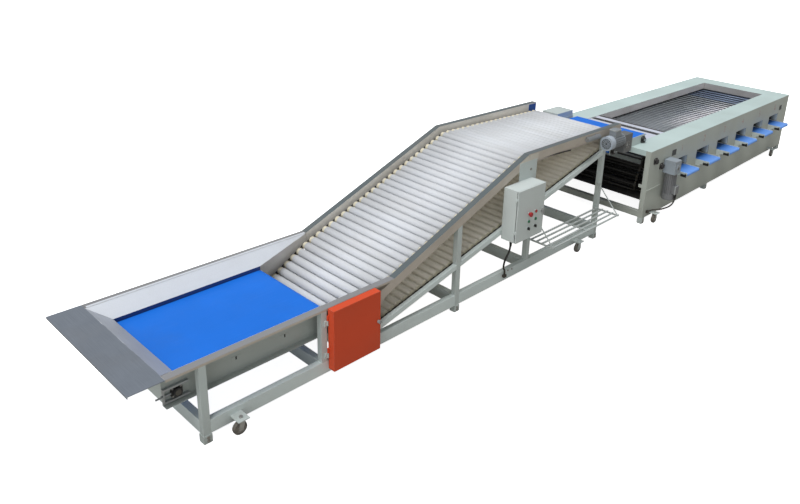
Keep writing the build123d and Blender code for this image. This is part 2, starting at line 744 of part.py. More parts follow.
def takeups():
    """Screw take-ups of the hopper tail drum and the chain take-up on the near rail."""
    bar_x = (CHANNEL_START_X, TAIL_DRUM_X + TAKEUP_REACH)
    bar_y = (CHANNEL_HALF, CHANNEL_HALF + TAKEUP_DEPTH)
    half = BEARING_HALF + CLEAR
    slide = (BELT_AXIS_Z - half, BELT_AXIS_Z + half)
    frame = block((bar_x[0], bar_x[0] + TAKEUP_END), bar_y, wider(slide, TAKEUP_BAR))
    for low in (slide[0] - TAKEUP_BAR, slide[1]):
        frame = frame + block(bar_x, bar_y, (low, low + TAKEUP_BAR))
    screw_y = CHANNEL_HALF + TAKEUP_DEPTH / 2
    frame = frame + round_x((bar_x[0] - SCREW_OUT, TAIL_DRUM_X - half), screw_y, BELT_AXIS_Z, SCREW_R)
    nut = outline_xz(ring_points(0, 0, NUT_R, 6), (0, NUT_H))
    frame = frame + Pos(bar_x[0] - NUT_H, screw_y, BELT_AXIS_Z) * Rot(0, 0, -90) * nut
    unit_z = RAIL_TOP_Z - WEB / 2
    unit = round_x(UNIT_X, -HALF_WIDTH - UNIT_OUT, unit_z, UNIT_R)
    for x in (UNIT_X[0] + UNIT_FOOT_IN, UNIT_X[1] - UNIT_FOOT_IN - UNIT_FOOT):
        foot_z = wider((unit_z, unit_z), UNIT_FOOT_HALF)
        unit = unit + block((x, x + UNIT_FOOT), (-HALF_WIDTH - UNIT_OUT, -HALF_WIDTH), foot_z)
    return pair(frame) + [unit]


def rail_strip(path, k, shallow, deep, y):
    """Strip along section k of a path, between two depths below it."""
    upper = offset_path(path, shallow)[k:k + 2]
    lower = offset_path(path, deep)[k:k + 2]
    return outline_xz(upper + lower[::-1], y)


def side_rails():
    """Rim, incline and top sections of both side rails, with tail and head plates."""
    flange_y = (FLANGE_IN, HALF_WIDTH)
    web_y = (HALF_WIDTH - SHEET, HALF_WIDTH)
    ledge = AXLE_DEPTH + LEDGE_DROP
    ledge_y = (ROLLER_HALF + CLEAR, SIDE_PLATE[1])
    rim = rail_strip(RAIL_PATH, 0, 0, SHEET, flange_y)
    sections = [rim + rail_strip(RAIL_PATH, 0, 0, RIM_LIP, web_y)]
    for k, inner in ((1, INNER_WEB), (2, TOP_WEB)):
        section = rail_strip(RAIL_PATH, k, 0, SHEET, flange_y)
        section = section + rail_strip(RAIL_PATH, k, 0, WEB, web_y)
        section = section + rail_strip(RAIL_PATH, k, 0, inner, SIDE_PLATE)
        section = section + rail_strip(STRAND_PATH, k, ledge, ledge + SHEET, ledge_y)
        sections.append(section)
    low = RAIL_TOP_Z - TOP_WEB
    foot = HEAD_Z - HEAD_PLATE_DROP
    head = [(HEAD_X - HEAD_PLATE_FRONT, low), (RAIL_END_X, low)]
    head += [(RAIL_END_X, foot), (HEAD_X - HEAD_PLATE_FOOT, foot)]
    room_x = (HEAD_X - SPROCKET_R - HEAD_ROOM, RAIL_END_X + CLEAR)
    sections[2] = sections[2] - block(room_x, (ROLLER_HALF, SIDE_PLATE[0]), (low, RAIL_TOP_Z - SHEET))
    head_hole = round_y(HEAD_X, SIDE_PLATE, HEAD_Z, STRAND_SHAFT_R + GAP)
    sections[2] = sections[2] + outline_xz(head, SIDE_PLATE) - head_hole
    top = RIM_Z - SHEET
    front = TAIL_X - TAIL_PLATE_FRONT
    back = LOWER_BEND_X - GAP
    tail = [(front, top), (back, top), (back, STEEP_Z - TAIL_PLATE_KNEE)]
    tail += [(TAIL_X + TAIL_PLATE_BACK, TAIL_Z - TAIL_PLATE_DROP), (front, TAIL_Z - TAIL_PLATE_DROP)]
    tail_hole = round_y(TAIL_X, SIDE_PLATE, TAIL_Z, STRAND_SHAFT_R + GAP)
    sections.append(outline_xz(tail, SIDE_PLATE) - tail_hole)
    return [rail for section in sections for rail in pair(section)]


def chain_plates(circles, inner_y, outer_y):
    """Inner and outer link plates of one chain, as closed bands."""
    return [band_xz(circles, -LINK_HALF, LINK_HALF, y) for y in (inner_y, outer_y)]


def drive_chains():
    """Elevator chains, rod chains and the hopper drive chain."""
    long_plates = chain_plates(strand_circles(), LINK_IN, LINK_OUT)
    long_plates += chain_plates(rod_circles(), ROD_LINK_IN, ROD_LINK_OUT)
    plates = [one for plate in long_plates for one in pair(plate)]
    small = [(TAIL_X, TAIL_Z, DRIVE_R), (HEAD_DRUM_X, BELT_AXIS_Z, DRIVE_R)]
    near = (DRIVE_SIDE[1] + CLEAR, DRIVE_SIDE[1] + CLEAR + LINK_THICK / 2)
    far = (DRIVE_SIDE[0] - CLEAR - LINK_THICK / 2, DRIVE_SIDE[0] - CLEAR)
    return plates + chain_plates(small, near, far)


def elevator_rollers():
    """Rollers spread evenly along the whole strand, between the two chains."""
    ends = (-ROLLER_HALF, ROLLER_HALF)
    spots = spaced(strand_circles(), 2 * CHAIN_PITCH)
    return [outline_xz(ring_points(x, z, ROLLER_R, ROLLER_SIDES), ends) for x, z in spots]


def strand_shaft(x, z, y):
    """Shaft with the two chain wheels of the roller strand."""
    shaft = round_y(x, y, z, STRAND_SHAFT_R)
    for wheel in pair(drive_wheel(x, z, SPROCKET_R, TEETH, SPROCKET_Y)):
        shaft = shaft + wheel
    return shaft


def head_shaft():
    """Driven shaft at the elevator's top end."""
    near = -HALF_WIDTH - GEAR_Y - GEAR_HALF - GEAR_SHAFT_END
    return [strand_shaft(HEAD_X, HEAD_Z, (near, SIDE_PLATE[1] + BEARING_CAP))]


def tail_shaft():
    """Shaft at the elevator's lower end, passing the drive to the hopper belt."""
    shaft = strand_shaft(TAIL_X, TAIL_Z, (SHAFT_NEAR, SIDE_PLATE[1] + BEARING_CAP))
    return [shaft + drive_wheel(TAIL_X, TAIL_Z, DRIVE_R, DRIVE_TEETH, DRIVE_SIDE)]


def bearing(x, z, face, bore, way=1):
    """Flange bearing on a plate face at +Y, its boss pointing along way."""
    side = BEARING_HALF
    short = BEARING_HALF - BEARING_CORNER
    corners = [(short, -side), (side, -short), (side, short), (short, side)]
    corners += [(-px, -pz) for px, pz in corners]
    flange_y = sorted((face, face + way * BEARING_FLANGE))
    boss_y = sorted((face, face + way * (BEARING_CAP - GAP)))
    body = outline_xz([(x + px, z + pz) for px, pz in corners], flange_y)
    body = body + outline_xz(ring_points(x, z, BOSS_R, BOSS_SIDES), boss_y)
    if bore:
        body = body - round_y(x, wider(boss_y, CLEAR), z, bore + FIT)
    return body


def flange_bearings():
    """Black flange bearings of every shaft."""
    pairs = [
        bearing(TAIL_DRUM_X, BELT_AXIS_Z, CHANNEL_HALF, DRUM_SHAFT_R),
        bearing(HEAD_DRUM_X, BELT_AXIS_Z, CHANNEL_HALF, DRUM_SHAFT_R),
        bearing(TAIL_X, TAIL_Z, SIDE_PLATE[1], STRAND_SHAFT_R),
        bearing(HEAD_X, HEAD_Z, SIDE_PLATE[1], STRAND_SHAFT_R),
        bearing(FEED_TAIL_X, FEED_AXIS_Z, FEED_PLATE_Y[1], FEED_SHAFT_R),
        bearing(FEED_HEAD_X, FEED_AXIS_Z, FEED_PLATE_Y[1], FEED_SHAFT_R),
        bearing(DRIVE_SHAFT_X, ROD_SHAFT_Z, PANEL_IN, GRADER_SHAFT_R, -1),
        bearing(END_SHAFT_X, ROD_SHAFT_Z, PANEL_IN, GRADER_SHAFT_R, -1),
    ]
    idlers = []
    for run, up in zip(IDLER_RUNS, IDLER_UPS):
        idler = bearing(GRADER_X[0] + run, ROD_SHAFT_Z + up, GRADER_HALF, 0)
        idlers.append(mirror(idler, about=Plane.XZ))
    return [one for piece in pairs for one in pair(piece)] + idlers


def guard_door():
    """Sheet guard over the hopper drive, open at the back, with its hinge halves."""
    y = (GUARD_FACE, GUARD_FACE + GUARD_DEPTH)
    inside_y = (y[0] + GUARD_SHEET, y[1] + CLEAR)
    door = block(GUARD_X, y, GUARD_Z)
    door = door - block(wider(GUARD_X, -GUARD_SHEET), inside_y, wider(GUARD_Z, -GUARD_SHEET))
    for z in HINGE_ZS:
        upper = (z + CLEAR, z + HINGE_H)
        door = door + round_z(HINGE_X, HINGE_Y, upper, HINGE_R)
        door = door + round_z(HINGE_X, HINGE_Y, (z - HINGE_H, z + HINGE_H), PIN_R)
        door = door + block((HINGE_X, GUARD_X[0] + CLEAR), wider((HINGE_Y, HINGE_Y), HINGE_R), upper)
    hole_y = wider((y[0], y[0] + GUARD_SHEET), CLEAR)
    return [door - round_y(LATCH_X, hole_y, LATCH_Z, LATCH_STEM_R + FIT)]


def guard_latch():
    """Quarter-turn latch of the guard: knob, stem and the tongue behind the sheet."""
    front = GUARD_FACE
    knob_y = (front - KNOB_H, front - END_PLAY)
    wing_y = (front - KNOB_WING_H, knob_y[0] + CLEAR)
    tongue_y = (front + TONGUE_BACK - TONGUE_THICK, front + TONGUE_BACK)
    wing_x = wider((LATCH_X, LATCH_X), KNOB_WING / 2)
    latch = round_y(LATCH_X, knob_y, LATCH_Z, KNOB_R)
    latch = latch + round_y(LATCH_X, (front - CLEAR, tongue_y[1]), LATCH_Z, LATCH_STEM_R)
    latch = latch + block(wing_x, wing_y, wider((LATCH_Z, LATCH_Z), KNOB_R))
    tongue_z = (LATCH_Z - TONGUE_LONG, LATCH_Z + TONGUE_SHORT)
    return [latch + block(wider((LATCH_X, LATCH_X), TONGUE_W / 2), tongue_y, tongue_z)]


def leg(x, foot, depth):
    """Far leg at x from a foot height up to the rail section of the given depth."""
    sides = (x - TUBE / 2, x + TUBE / 2)
    outline = [(sides[0], foot), (sides[1], foot)]
    outline += [(side, rail_under(side, depth)) for side in sides[::-1]]
    return outline_xz(outline, (LEG_IN, HALF_WIDTH))


def legs():
    """Elevator legs and posts with tops cut to the rails; the hinge halves sit on the near post."""
    posts = pair(leg(FRONT_LEG_X, SOLE, RIM_LIP)) + pair(leg(MIDDLE_LEG_X, SOLE, WEB))
    posts += pair(leg(REAR_LEG_X, SOLE, WEB)) + pair(leg(BOX_LEG_X, BEAM_Z[1], WEB))
    far_post, near_post = pair(leg(POST_X, BEAM_Z[1], RIM_LIP))
    for z in HINGE_ZS:
        lower = (z - HINGE_H, z - CLEAR)
        leaf_y = (HINGE_Y, -HALF_WIDTH + CLEAR)
        near_post = near_post + block((HINGE_X - HINGE_LEAF, HINGE_X), leaf_y, lower)
        near_post = near_post + round_z(HINGE_X, HINGE_Y, lower, HINGE_R)
        near_post = near_post - round_z(HINGE_X, HINGE_Y, wider(lower, CLEAR), PIN_R + FIT)
    return posts + [far_post, near_post]


def return_strip(spans):
    """Sloping beam under the returning rollers between two X values."""
    def under(x):
        return TAIL_Z + (x - TAIL_X) * RETURN_SLOPE - RETURN_DROP + RETURN_LIFT
    outline = [(x, under(x)) for x in spans]
    outline += [(x, under(x) + RETURN_H) for x in spans[::-1]]
    return outline_xz(outline, (HALF_WIDTH - RETURN_W, HALF_WIDTH))


def frame_beams():
    """Base beams, cross beams and the sloping return beams."""
    half = TUBE / 2
    y = (LEG_IN, HALF_WIDTH)
    beams = []
    for a, b in ((FRONT_LEG_X, MIDDLE_LEG_X), (MIDDLE_LEG_X, REAR_LEG_X)):
        beams += pair(block((a + half, b - half), y, BEAM_Z))
    for x in (FRONT_LEG_X, POST_X, MIDDLE_LEG_X, BOX_LEG_X, REAR_LEG_X):
        beams.append(block((x - half, x + half), (-LEG_IN, LEG_IN), BEAM_Z))
    first_x = (TAIL_X + RETURN_START, MIDDLE_LEG_X - half)
    below = block(wider(first_x, CLEAR), (0, HALF_WIDTH + CLEAR), (-BEAM_H, BEAM_Z[1]))
    beams += pair(return_strip(first_x) - below)
    for a, b in ((MIDDLE_LEG_X, BOX_LEG_X), (BOX_LEG_X, REAR_LEG_X)):
        beams += pair(return_strip((a + half, b - half)))
    return beams


def levelling_feet():
    """Shoes under the elevator legs and pads under the grader posts."""
    feet = []
    for x in (FRONT_LEG_X, MIDDLE_LEG_X, REAR_LEG_X):
        tube_x = wider((x, x), TUBE / 2)
        tube_y = (LEG_IN, HALF_WIDTH)
        shoe = block(wider(tube_x, SHOE_WALL), wider(tube_y, SHOE_WALL), (0, SHOE_H))
        feet += pair(shoe - block(tube_x, tube_y, (SOLE, SHOE_H)))
    for x in POST_XS:
        feet += pair(block((x, x + POST), POST_Y, (0, PANEL_FOOT)))
    return feet


def tool_shelf():
    """Wire shelf hung between the two rear near legs."""
    x = (BOX_LEG_X + TUBE / 2, REAR_LEG_X - TUBE / 2)
    back = -HALF_WIDTH - SHELF_BACK
    front = -HALF_WIDTH - SHELF_REACH
    beside = -LEG_IN - SHELF_BACK
    z = (SHELF_Z - SHELF_BAR, SHELF_Z)
    shelf = block((x[0], x[0] + SHELF_BAR), (front, beside), z)
    shelf = shelf + block((x[1] - SHELF_BAR, x[1]), (front, beside), z)
    middle = (x[0] + x[1]) / 2
    shelf = shelf + block((middle, middle + SHELF_BAR), (front, back), z)
    for k in range(SHELF_RODS):
        y = front + SHELF_ROD_R + k * (back - front - SHELF_ROD_R) / (SHELF_RODS - 1)
        shelf = shelf + round_x(wider(x, -CLEAR), y, SHELF_Z, SHELF_ROD_R)
    top = SHELF_Z + STRUT_RISE
    for low in (x[0], x[1] - SHELF_BAR):
        mid = low + SHELF_BAR / 2
        start = (mid, front + SHELF_BAR, SHELF_Z - STRUT_DROP)
        shelf = shelf + between(start, (mid, back, top), STRUT_R)
        lug_y = (back - LUG_DEPTH, beside)
        shelf = shelf + block((low, low + SHELF_BAR), lug_y, wider((top, top), LUG_HALF))
    return [shelf]


def caster_fork(x, y):
    """Fork with crown, two cheeks, wheel axle and the swivel pin with its nut."""
    nut_z = (PLATE_Z[1] + END_PLAY, PLATE_Z[1] + KINGPIN_NUT_H)
    fork = round_z(x, y, CROWN_Z, CROWN_R)
    fork = fork + round_z(x, y, (CROWN_Z[0], nut_z[1]), KINGPIN_R)
    fork = fork + round_z(x, y, nut_z, KINGPIN_NUT_R)
    hub_x = x - TRAIL
    foot_z = WHEEL_Z - CHEEK_FOOT
    outline = [(hub_x - CHEEK_FOOT, foot_z), (hub_x + CHEEK_FOOT, foot_z)]
    outline += [(x + CHEEK_TOP, CROWN_Z[1]), (x - CHEEK_TOP, CROWN_Z[1])]
    for side in (-1, 1):
        cheek_y = sorted((y + side * CHEEK_Y[0], y + side * CHEEK_Y[1]))
        fork = fork + outline_xz(outline, cheek_y)
    return fork + round_y(hub_x, wider((y, y), CHEEK_Y[1]), WHEEL_Z, AXLE_R)


def caster_wheel(x, y):
    """Tyred wheel with a wider hub."""
    hub_x = x - TRAIL
    wheel = round_y(hub_x, wider((y, y), WHEEL_W / 2), WHEEL_Z, WHEEL_R)
    wheel = wheel + round_y(hub_x, wider((y, y), CHEEK_Y[0] - END_PLAY), WHEEL_Z, HUB_R)
    return wheel - round_y(hub_x, wider((y, y), CHEEK_Y[1]), WHEEL_Z, AXLE_R + FIT)


def caster_plate(x, y, face):
    """Plate that carries a caster outboard of a frame face."""
    y_span = sorted((face, y + math.copysign(PLATE_HALF, y)))
    return block((x - PLATE_HALF, x + PLATE_HALF), y_span, PLATE_Z)


CASTERS = []
CASTER_FRAMES = (
    ("elevator", ELEVATOR_CASTER_XS, HALF_WIDTH, CASTER_OUT),
    ("grader", GRADER_CASTER_XS, GRADER_HALF, GRADER_CASTER_OUT),
)
for frame_name, caster_xs, face_y, out in CASTER_FRAMES:
    for end, caster_x in zip(("front", "rear"), caster_xs):
        for side_name, side in (("near", -1), ("far", 1)):
            spot = (f"{frame_name}_{end}_{side_name}", caster_x, side * (face_y + out))
            CASTERS.append(spot + (side * face_y, end == "front"))


def caster_plates():
    """All caster plates; the rear ones carry their forks rigidly."""
    plates = []
    for name, x, y, face, swivels in CASTERS:
        plate = caster_plate(x, y, face)
        if swivels:
            plates.append(plate - round_z(x, y, wider(PLATE_Z, CLEAR), KINGPIN_R + FIT))
        else:
            washer = round_z(x, y, (CROWN_Z[1] - CLEAR, PLATE_Z[0] + CLEAR), CROWN_R)
            plates.append(plate + washer + caster_fork(x, y))
    return plates


def control_box():
    """Control cabinet with its mounting plate and switchgear inside."""
    box = block(BOX_X, (BOX_FRONT, BOX_BACK), BOX_Z)
    inside_y = (BOX_FRONT - CLEAR, BOX_BACK - BOX_SHEET)
    box = box - block(wider(BOX_X, -BOX_SHEET), inside_y, wider(BOX_Z, -BOX_SHEET))
    for z in BOX_HINGE_ZS:
        lower = (z - HINGE_H / 2, z - CLEAR)
        leaf_y = (BOX_HINGE_Y, BOX_HINGE_Y + BOX_HINGE_LEAF)
        box = box + block((BOX_HINGE_X, BOX_X[0] + CLEAR), leaf_y, lower)
        box = box + round_z(BOX_HINGE_X, BOX_HINGE_Y, lower, BOX_HINGE_R)
        box = box - round_z(BOX_HINGE_X, BOX_HINGE_Y, wider(lower, CLEAR), PIN_R + FIT)
    floor = wider((BOX_Z[0], BOX_Z[0] + BOX_SHEET), CLEAR)
    box = box - round_z(GLAND_X, GLAND_Y, floor, CABLE_R + GLAND_HOLE)
    back = inside_y[1]
    plate_y = (back - GEAR_PLATE, back)
    gear = [block(wider(BOX_X, -GEAR_PLATE_IN), plate_y, wider(BOX_Z, -GEAR_PLATE_IN))]
    module_z = (BOX_Z[1] - MODULE_Z[0], BOX_Z[1] - MODULE_Z[1])
    for k in range(MODULES):
        low = BOX_X[0] + MODULE_START + MODULE_PITCH * k
        gear.append(block((low, low + MODULE_W), (plate_y[0] - MODULE_DEPTH, plate_y[0]), module_z))
    strip_y = (plate_y[0] - TERMINALS_DEPTH, plate_y[0])
    strip_z = (BOX_Z[0] + TERMINALS_Z[0], BOX_Z[0] + TERMINALS_Z[1])
    gear.append(block(wider(BOX_X, -MODULE_START), strip_y, strip_z))
    return [box] + gear


def box_door():
    """Cabinet door: a shallow tray with rounded edges, button collars and hinge halves."""
    door = block(BOX_X, (DOOR_FRONT, DOOR_BACK), BOX_Z)
    door = fillet(door.edges().filter_by(Axis.Z), DOOR_CORNER)
    inside_y = (DOOR_FRONT + BOX_SHEET, DOOR_BACK + CLEAR)
    door = door - block(wider(BOX_X, -BOX_SHEET), inside_y, wider(BOX_Z, -BOX_SHEET))
    through = (DOOR_FRONT - CLEAR, DOOR_BACK)
    collar_y = (DOOR_FRONT - COLLAR, DOOR_FRONT + CLEAR)
    for x in BUTTON_XS:
        for z in BUTTON_ZS:
            door = door + round_y(x, collar_y, z, BUTTON_R + COLLAR)
            door = door - round_y(x, (collar_y[0] - CLEAR, DOOR_FRONT), z, BUTTON_R + PLAY)
            door = door - round_y(x, through, z, STEM_R + FIT)
    door = door - round_y(HANDLE_XZ[0], through, HANDLE_XZ[1], STEM_R + FIT)
    leaf_y = (DOOR_FRONT + HANDLE_BASE, DOOR_BACK)
    for z in BOX_HINGE_ZS:
        upper = (z + CLEAR, z + HINGE_H / 2)
        door = door + block((BOX_HINGE_X, BOX_X[0] - CLEAR), (leaf_y[0], BOX_HINGE_Y), upper)
        door = door + block((BOX_HINGE_X, BOX_X[0] + CLEAR), leaf_y, upper)
        door = door + round_z(BOX_HINGE_X, BOX_HINGE_Y, upper, BOX_HINGE_R)
        door = door + round_z(BOX_HINGE_X, BOX_HINGE_Y, wider((z, z), HINGE_H / 2), PIN_R)
    return [door]


def push_stem(x, z):
    """Stem of a push button through the door."""
    start = DOOR_FRONT - BUTTON_TRAVEL - GAP
    return round_y(x, (start, STEM_END - BUTTON_TRAVEL), z, STEM_R)


def button(x, z):
    """Push button: cap in front of the door and the stem through it."""
    cap = round_y(x, (DOOR_FRONT - BUTTON_RISE, DOOR_FRONT - BUTTON_TRAVEL - CLEAR), z, BUTTON_R)
    return [cap + push_stem(x, z)]


def estop_button(x, z):
    """Mushroom head of the emergency stop."""
    top = DOOR_FRONT - MUSHROOM_RISE
    head = round_y(x, (top, top + MUSHROOM_H), z, MUSHROOM_R)
    stalk = round_y(x, (top + CLEAR, DOOR_FRONT - BUTTON_TRAVEL - CLEAR), z, BUTTON_R)
    return [head + stalk + push_stem(x, z)]


def selector(x, z):
    """Rotary selector: round base, grip bar and stem."""
    base_y = (DOOR_FRONT - SELECTOR_RISE, DOOR_FRONT - END_PLAY)
    grip_y = (DOOR_FRONT - GRIP_RISE, base_y[0] + CLEAR)
    grip = block(wider((x, x), GRIP_W / 2), grip_y, wider((z, z), GRIP_LENGTH / 2))
    stem = round_y(x, (DOOR_FRONT - CLEAR, STEM_END), z, STEM_R)
    return [round_y(x, base_y, z, BUTTON_R) + grip + stem]


def door_handle():
    """Quarter-turn handle: round base, grip, stem and the tongue behind the door sheet."""
    x, z = HANDLE_XZ
    base_y = (DOOR_FRONT - HANDLE_BASE, DOOR_FRONT - END_PLAY)
    grip_y = (DOOR_FRONT - HANDLE_RISE, base_y[0] + CLEAR)
    handle = round_y(x, base_y, z, HANDLE_R)
    handle = handle + block(wider((x, x), HANDLE_W / 2), grip_y, (z - HANDLE_DOWN, z + HANDLE_OVER))
    handle = handle + round_y(x, (DOOR_FRONT - CLEAR, STEM_END), z, STEM_R)
    catch_y = (STEM_END - CATCH_THICK, STEM_END)
    return [handle + block(wider((x, x), CATCH_W / 2), catch_y, (z - CATCH_DOWN, z + CATCH_OVER))]


def box_bracket():
    """Plate that carries the control box on the rail and the leg."""
    right = BOX_LEG_X + BRACKET_LAP
    z = (BOX_Z[0] + BRACKET_UP, RAIL_TOP_Z - BRACKET_DROP)
    return [block((right - BRACKET_W, right), (BOX_BACK, -HALF_WIDTH), z)]


def rounded_run(points):
    """Path through points with the bends rounded as far as the runs allow."""
    spots = [Vector(*p) for p in points]
    radii = []
    for a, b, c in zip(spots, spots[1:], spots[2:]):
        turn = math.radians((b - a).get_angle(c - b))
        radii.append(0.45 * min((b - a).length, (c - b).length) / math.tan(turn / 2))
    return FilletPolyline(*points, radius=radii)


def box_cable_points():
    """Route of the supply cable from the box gland to the entry on the base beam."""
    x = CLAMP_XZ[0] + CLAMP_OFFSET
    y = -HALF_WIDTH - CLAMP_DEPTH / 2
    start = BOX_Z[0] - GLAND_H
    end = CLAMP_XZ[1] + CLAMP_HALF
    return [
        (GLAND_X, GLAND_Y, start),
        (GLAND_X, GLAND_Y, start - 89),
        (GLAND_X - 20, GLAND_Y + 12, start - 179),
        (GLAND_X - 6, GLAND_Y + 40, start - 264),
        (x, y, end + 60),
        (x, y, end),
    ]


def motor_cable_points():
    """Route of the grader motor's cable, under the motor to the entry at the front post."""
    x = DRIVE_SHAFT_X
    y = MOTOR_GLAND_Y
    start = MOTOR_BOX_Z - GLAND_H
    end_x = ENTRY_X + ENTRY_SIDES[1]
    end_y = -GRADER_HALF - ENTRY_DEPTH / 2
    return [
        (x, y, start),
        (x, y, start - 72),
        (x - 85, y + 6, start - 112),
        (x - 170, y + 38, start - 126),
        (x - 240, y + 90, start - 142),
        (end_x + 60, end_y, ENTRY_Z),
        (end_x, end_y, ENTRY_Z),
    ]


def power_cables():
    """The two cables seen on the near side."""
    cables = []
    for points, r in ((box_cable_points(), CABLE_R), (motor_cable_points(), MOTOR_CABLE_R)):
        path = rounded_run(points)
        start = Plane(points[0], z_dir=path % 0)
        cables.append(sweep(start * Circle(r), path=path))
    return cables


def cable_fittings():
    """Glands and entry fittings at the cable ends."""
    box_gland = round_z(GLAND_X, GLAND_Y, (BOX_Z[0] - GLAND_H, BOX_Z[0]), CABLE_R + GLAND_WALL)
    gland_z = (MOTOR_BOX_Z - GLAND_H, MOTOR_BOX_Z)
    motor_gland = round_z(DRIVE_SHAFT_X, MOTOR_GLAND_Y, gland_z, MOTOR_CABLE_R + GLAND_WALL)
    x, z = CLAMP_XZ
    clamp_x = (x - CLAMP_SIDES[0], x + CLAMP_SIDES[1])
    clamp_y = (-HALF_WIDTH - CLAMP_DEPTH, -HALF_WIDTH)
    clamp = block(clamp_x, clamp_y, wider((z, z), CLAMP_HALF))
    entry_x = (ENTRY_X - ENTRY_SIDES[0], ENTRY_X + ENTRY_SIDES[1])
    entry_y = (-GRADER_HALF - ENTRY_DEPTH, -GRADER_HALF)
    entry = block(entry_x, entry_y, wider((ENTRY_Z, ENTRY_Z), ENTRY_HALF))
    return [box_gland, motor_gland, clamp, entry]


def feed_belt():
    """Short belt from the elevator's head to the grader."""
    circles = [(x, FEED_AXIS_Z, FEED_DRUM_R) for x in (FEED_TAIL_X, FEED_HEAD_X)]
    return [band_xz(circles, PLAY, PLAY + BELT_THICK, (-FEED_HALF, FEED_HALF))]


def feed_drum(x):
    """Drum of the feed belt."""
    reach = FEED_PLATE_Y[1] + BEARING_CAP
    half = FEED_HALF + FEED_DRUM_EXTRA
    return [drum(x, FEED_AXIS_Z, FEED_DRUM_R, half, FEED_SHAFT_R, (-reach, reach))]


def feed_frame():
    """Side plates of the feed belt, its bed and the drive cover on the far side."""
    plate_x = (FEED_TAIL_X - FEED_PLATE_ENDS[0], FEED_HEAD_X + FEED_PLATE_ENDS[1])
    plate_top = FEED_TOP + FEED_PLATE_RISE
    plate = block(plate_x, FEED_PLATE_Y, (GRADER_TOP, plate_top))
    for x in (FEED_TAIL_X, FEED_HEAD_X):
        plate = plate - round_y(x, FEED_PLATE_Y, FEED_AXIS_Z, FEED_SHAFT_R + GAP)
    bed_x = (FEED_TAIL_X + FEED_DRUM_R + BED_BACK, FEED_HEAD_X - FEED_DRUM_R - BED_BACK)
    bed_top = FEED_TOP - BELT_THICK - PLAY - CLEAR
    bed = block(bed_x, (-FEED_PLATE_Y[0], FEED_PLATE_Y[0]), (bed_top - FEED_BED, bed_top))
    side = FEED_PLATE_Y[1]
    cover_x = (FEED_HEAD_X - COVER_ENDS[0], FEED_HEAD_X + COVER_ENDS[1])
    cover = block(cover_x, (side, side + COVER_W), (GRADER_TOP, FEED_TOP + COVER_OVER))
    room_x = wider((FEED_HEAD_X, FEED_HEAD_X), BEARING_HALF + GAP)
    room_z = (GRADER_TOP - CLEAR, plate_top)
    cover = cover - block(room_x, (side, side + BEARING_CAP + GAP), room_z)
    return pair(plate) + [bed, cover]


def grader_frame():
    """Posts, rails, outlet rails and rod tracks of the grader."""
    z = (PANEL_FOOT, GRADER_TOP - PANEL)
    across = (-POST_Y[0], POST_Y[0])
    frame = []
    for x in POST_XS:
        frame += pair(block((x, x + POST), POST_Y, z))
        frame.append(block((x, x + POST), across, (z[0], z[0] + RAIL_H)))
    for a, b in zip(POST_XS, POST_XS[1:]):
        for low in (z[0], z[1] - RAIL_H):
            frame += pair(block((a + POST, b), POST_Y, (low, low + RAIL_H)))
    for x in (POST_XS[0], POST_XS[2]):
        frame.append(block((x + PANEL, x + POST), across, (z[1] - RAIL_H, z[1])))
    rail_x = (GRADER_X[0], GRADER_X[1] - PANEL)
    rail_y = (POST_Y[0] - OUTLET_RAIL, POST_Y[0])
    frame += pair(block(rail_x, rail_y, (OUTLET_PLATE_Z[0] - OUTLET_RAIL, OUTLET_PLATE_Z[0])))
    track_top = ROD_Z - LINK_HALF - GAP
    track_x = wider((DRIVE_SHAFT_X, END_SHAFT_X), -ROD_WHEEL_R * TRACK_END_SHARE)
    track_out = ROD_LINK_OUT[1] + TRACK_OUT
    low = track_top - TRACK_THICK
    track = block(track_x, (ROD_LINK_IN[0] + CLEAR, track_out), (low, track_top))
    track = track + block(track_x, (track_out - SHEET, track_out), (low, z[1]))
    return frame + pair(track)


def grader_panels():
    """Near panel with outlet windows and hatches, far panel, end panel and the near ledge."""
    z = (PANEL_FOOT, GRADER_TOP - PANEL)
    y = (-GRADER_HALF, -PANEL_IN)
    near = block(GRADER_X, y, z)
    window_z = (OUTLET_AXIS_Z - WINDOW_UNDER, OUTLET_AXIS_Z + WINDOW_OVER)
    for x in OUTLET_XS:
        near = near - block(wider((x, x + OUTLET_W), WINDOW_SIDE), y, window_z)
    hatch_xs = (GRADER_X[0] + HATCH_ENDS[0], GRADER_X[1] - HATCH_ENDS[1])
    for x, drop in zip(hatch_xs, HATCH_DROPS):
        mid = GRADER_TOP - drop
        near = near - block(wider((x, x), HATCH[0] / 2), y, wider((mid, mid), HATCH[1] / 2))
    near = near - round_y(DRIVE_SHAFT_X, y, ROD_SHAFT_Z, GRADER_SHAFT_R + GAP)
    far = block(GRADER_X, (PANEL_IN, GRADER_HALF), z)
    end = block((GRADER_X[1] - PANEL, GRADER_X[1]), (-PANEL_IN, PANEL_IN), z)
    ledge_x = (GRADER_X[0], DRIVE_SHAFT_X - MOTOR_R - HEAD_ROOM)
    ledge = block(ledge_x, (y[0] - LEDGE_OUT, y[0]), (LEDGE_LOW, LEDGE_LOW + LEDGE_H))
    return [near, far, end, ledge]


def top_cover():
    """Top cover with the grading opening and a folded front lip."""
    z = (GRADER_TOP - PANEL, GRADER_TOP)
    cover = block(GRADER_X, (-GRADER_HALF, GRADER_HALF), z)
    cover = cover - block(OPENING_X, (-OPENING_HALF, OPENING_HALF), z)
    lip_x = (GRADER_X[0], GRADER_X[0] + PANEL)
    return [cover + block(lip_x, (-POST_Y[0], POST_Y[0]), (z[0] - FRONT_LIP, GRADER_TOP))]


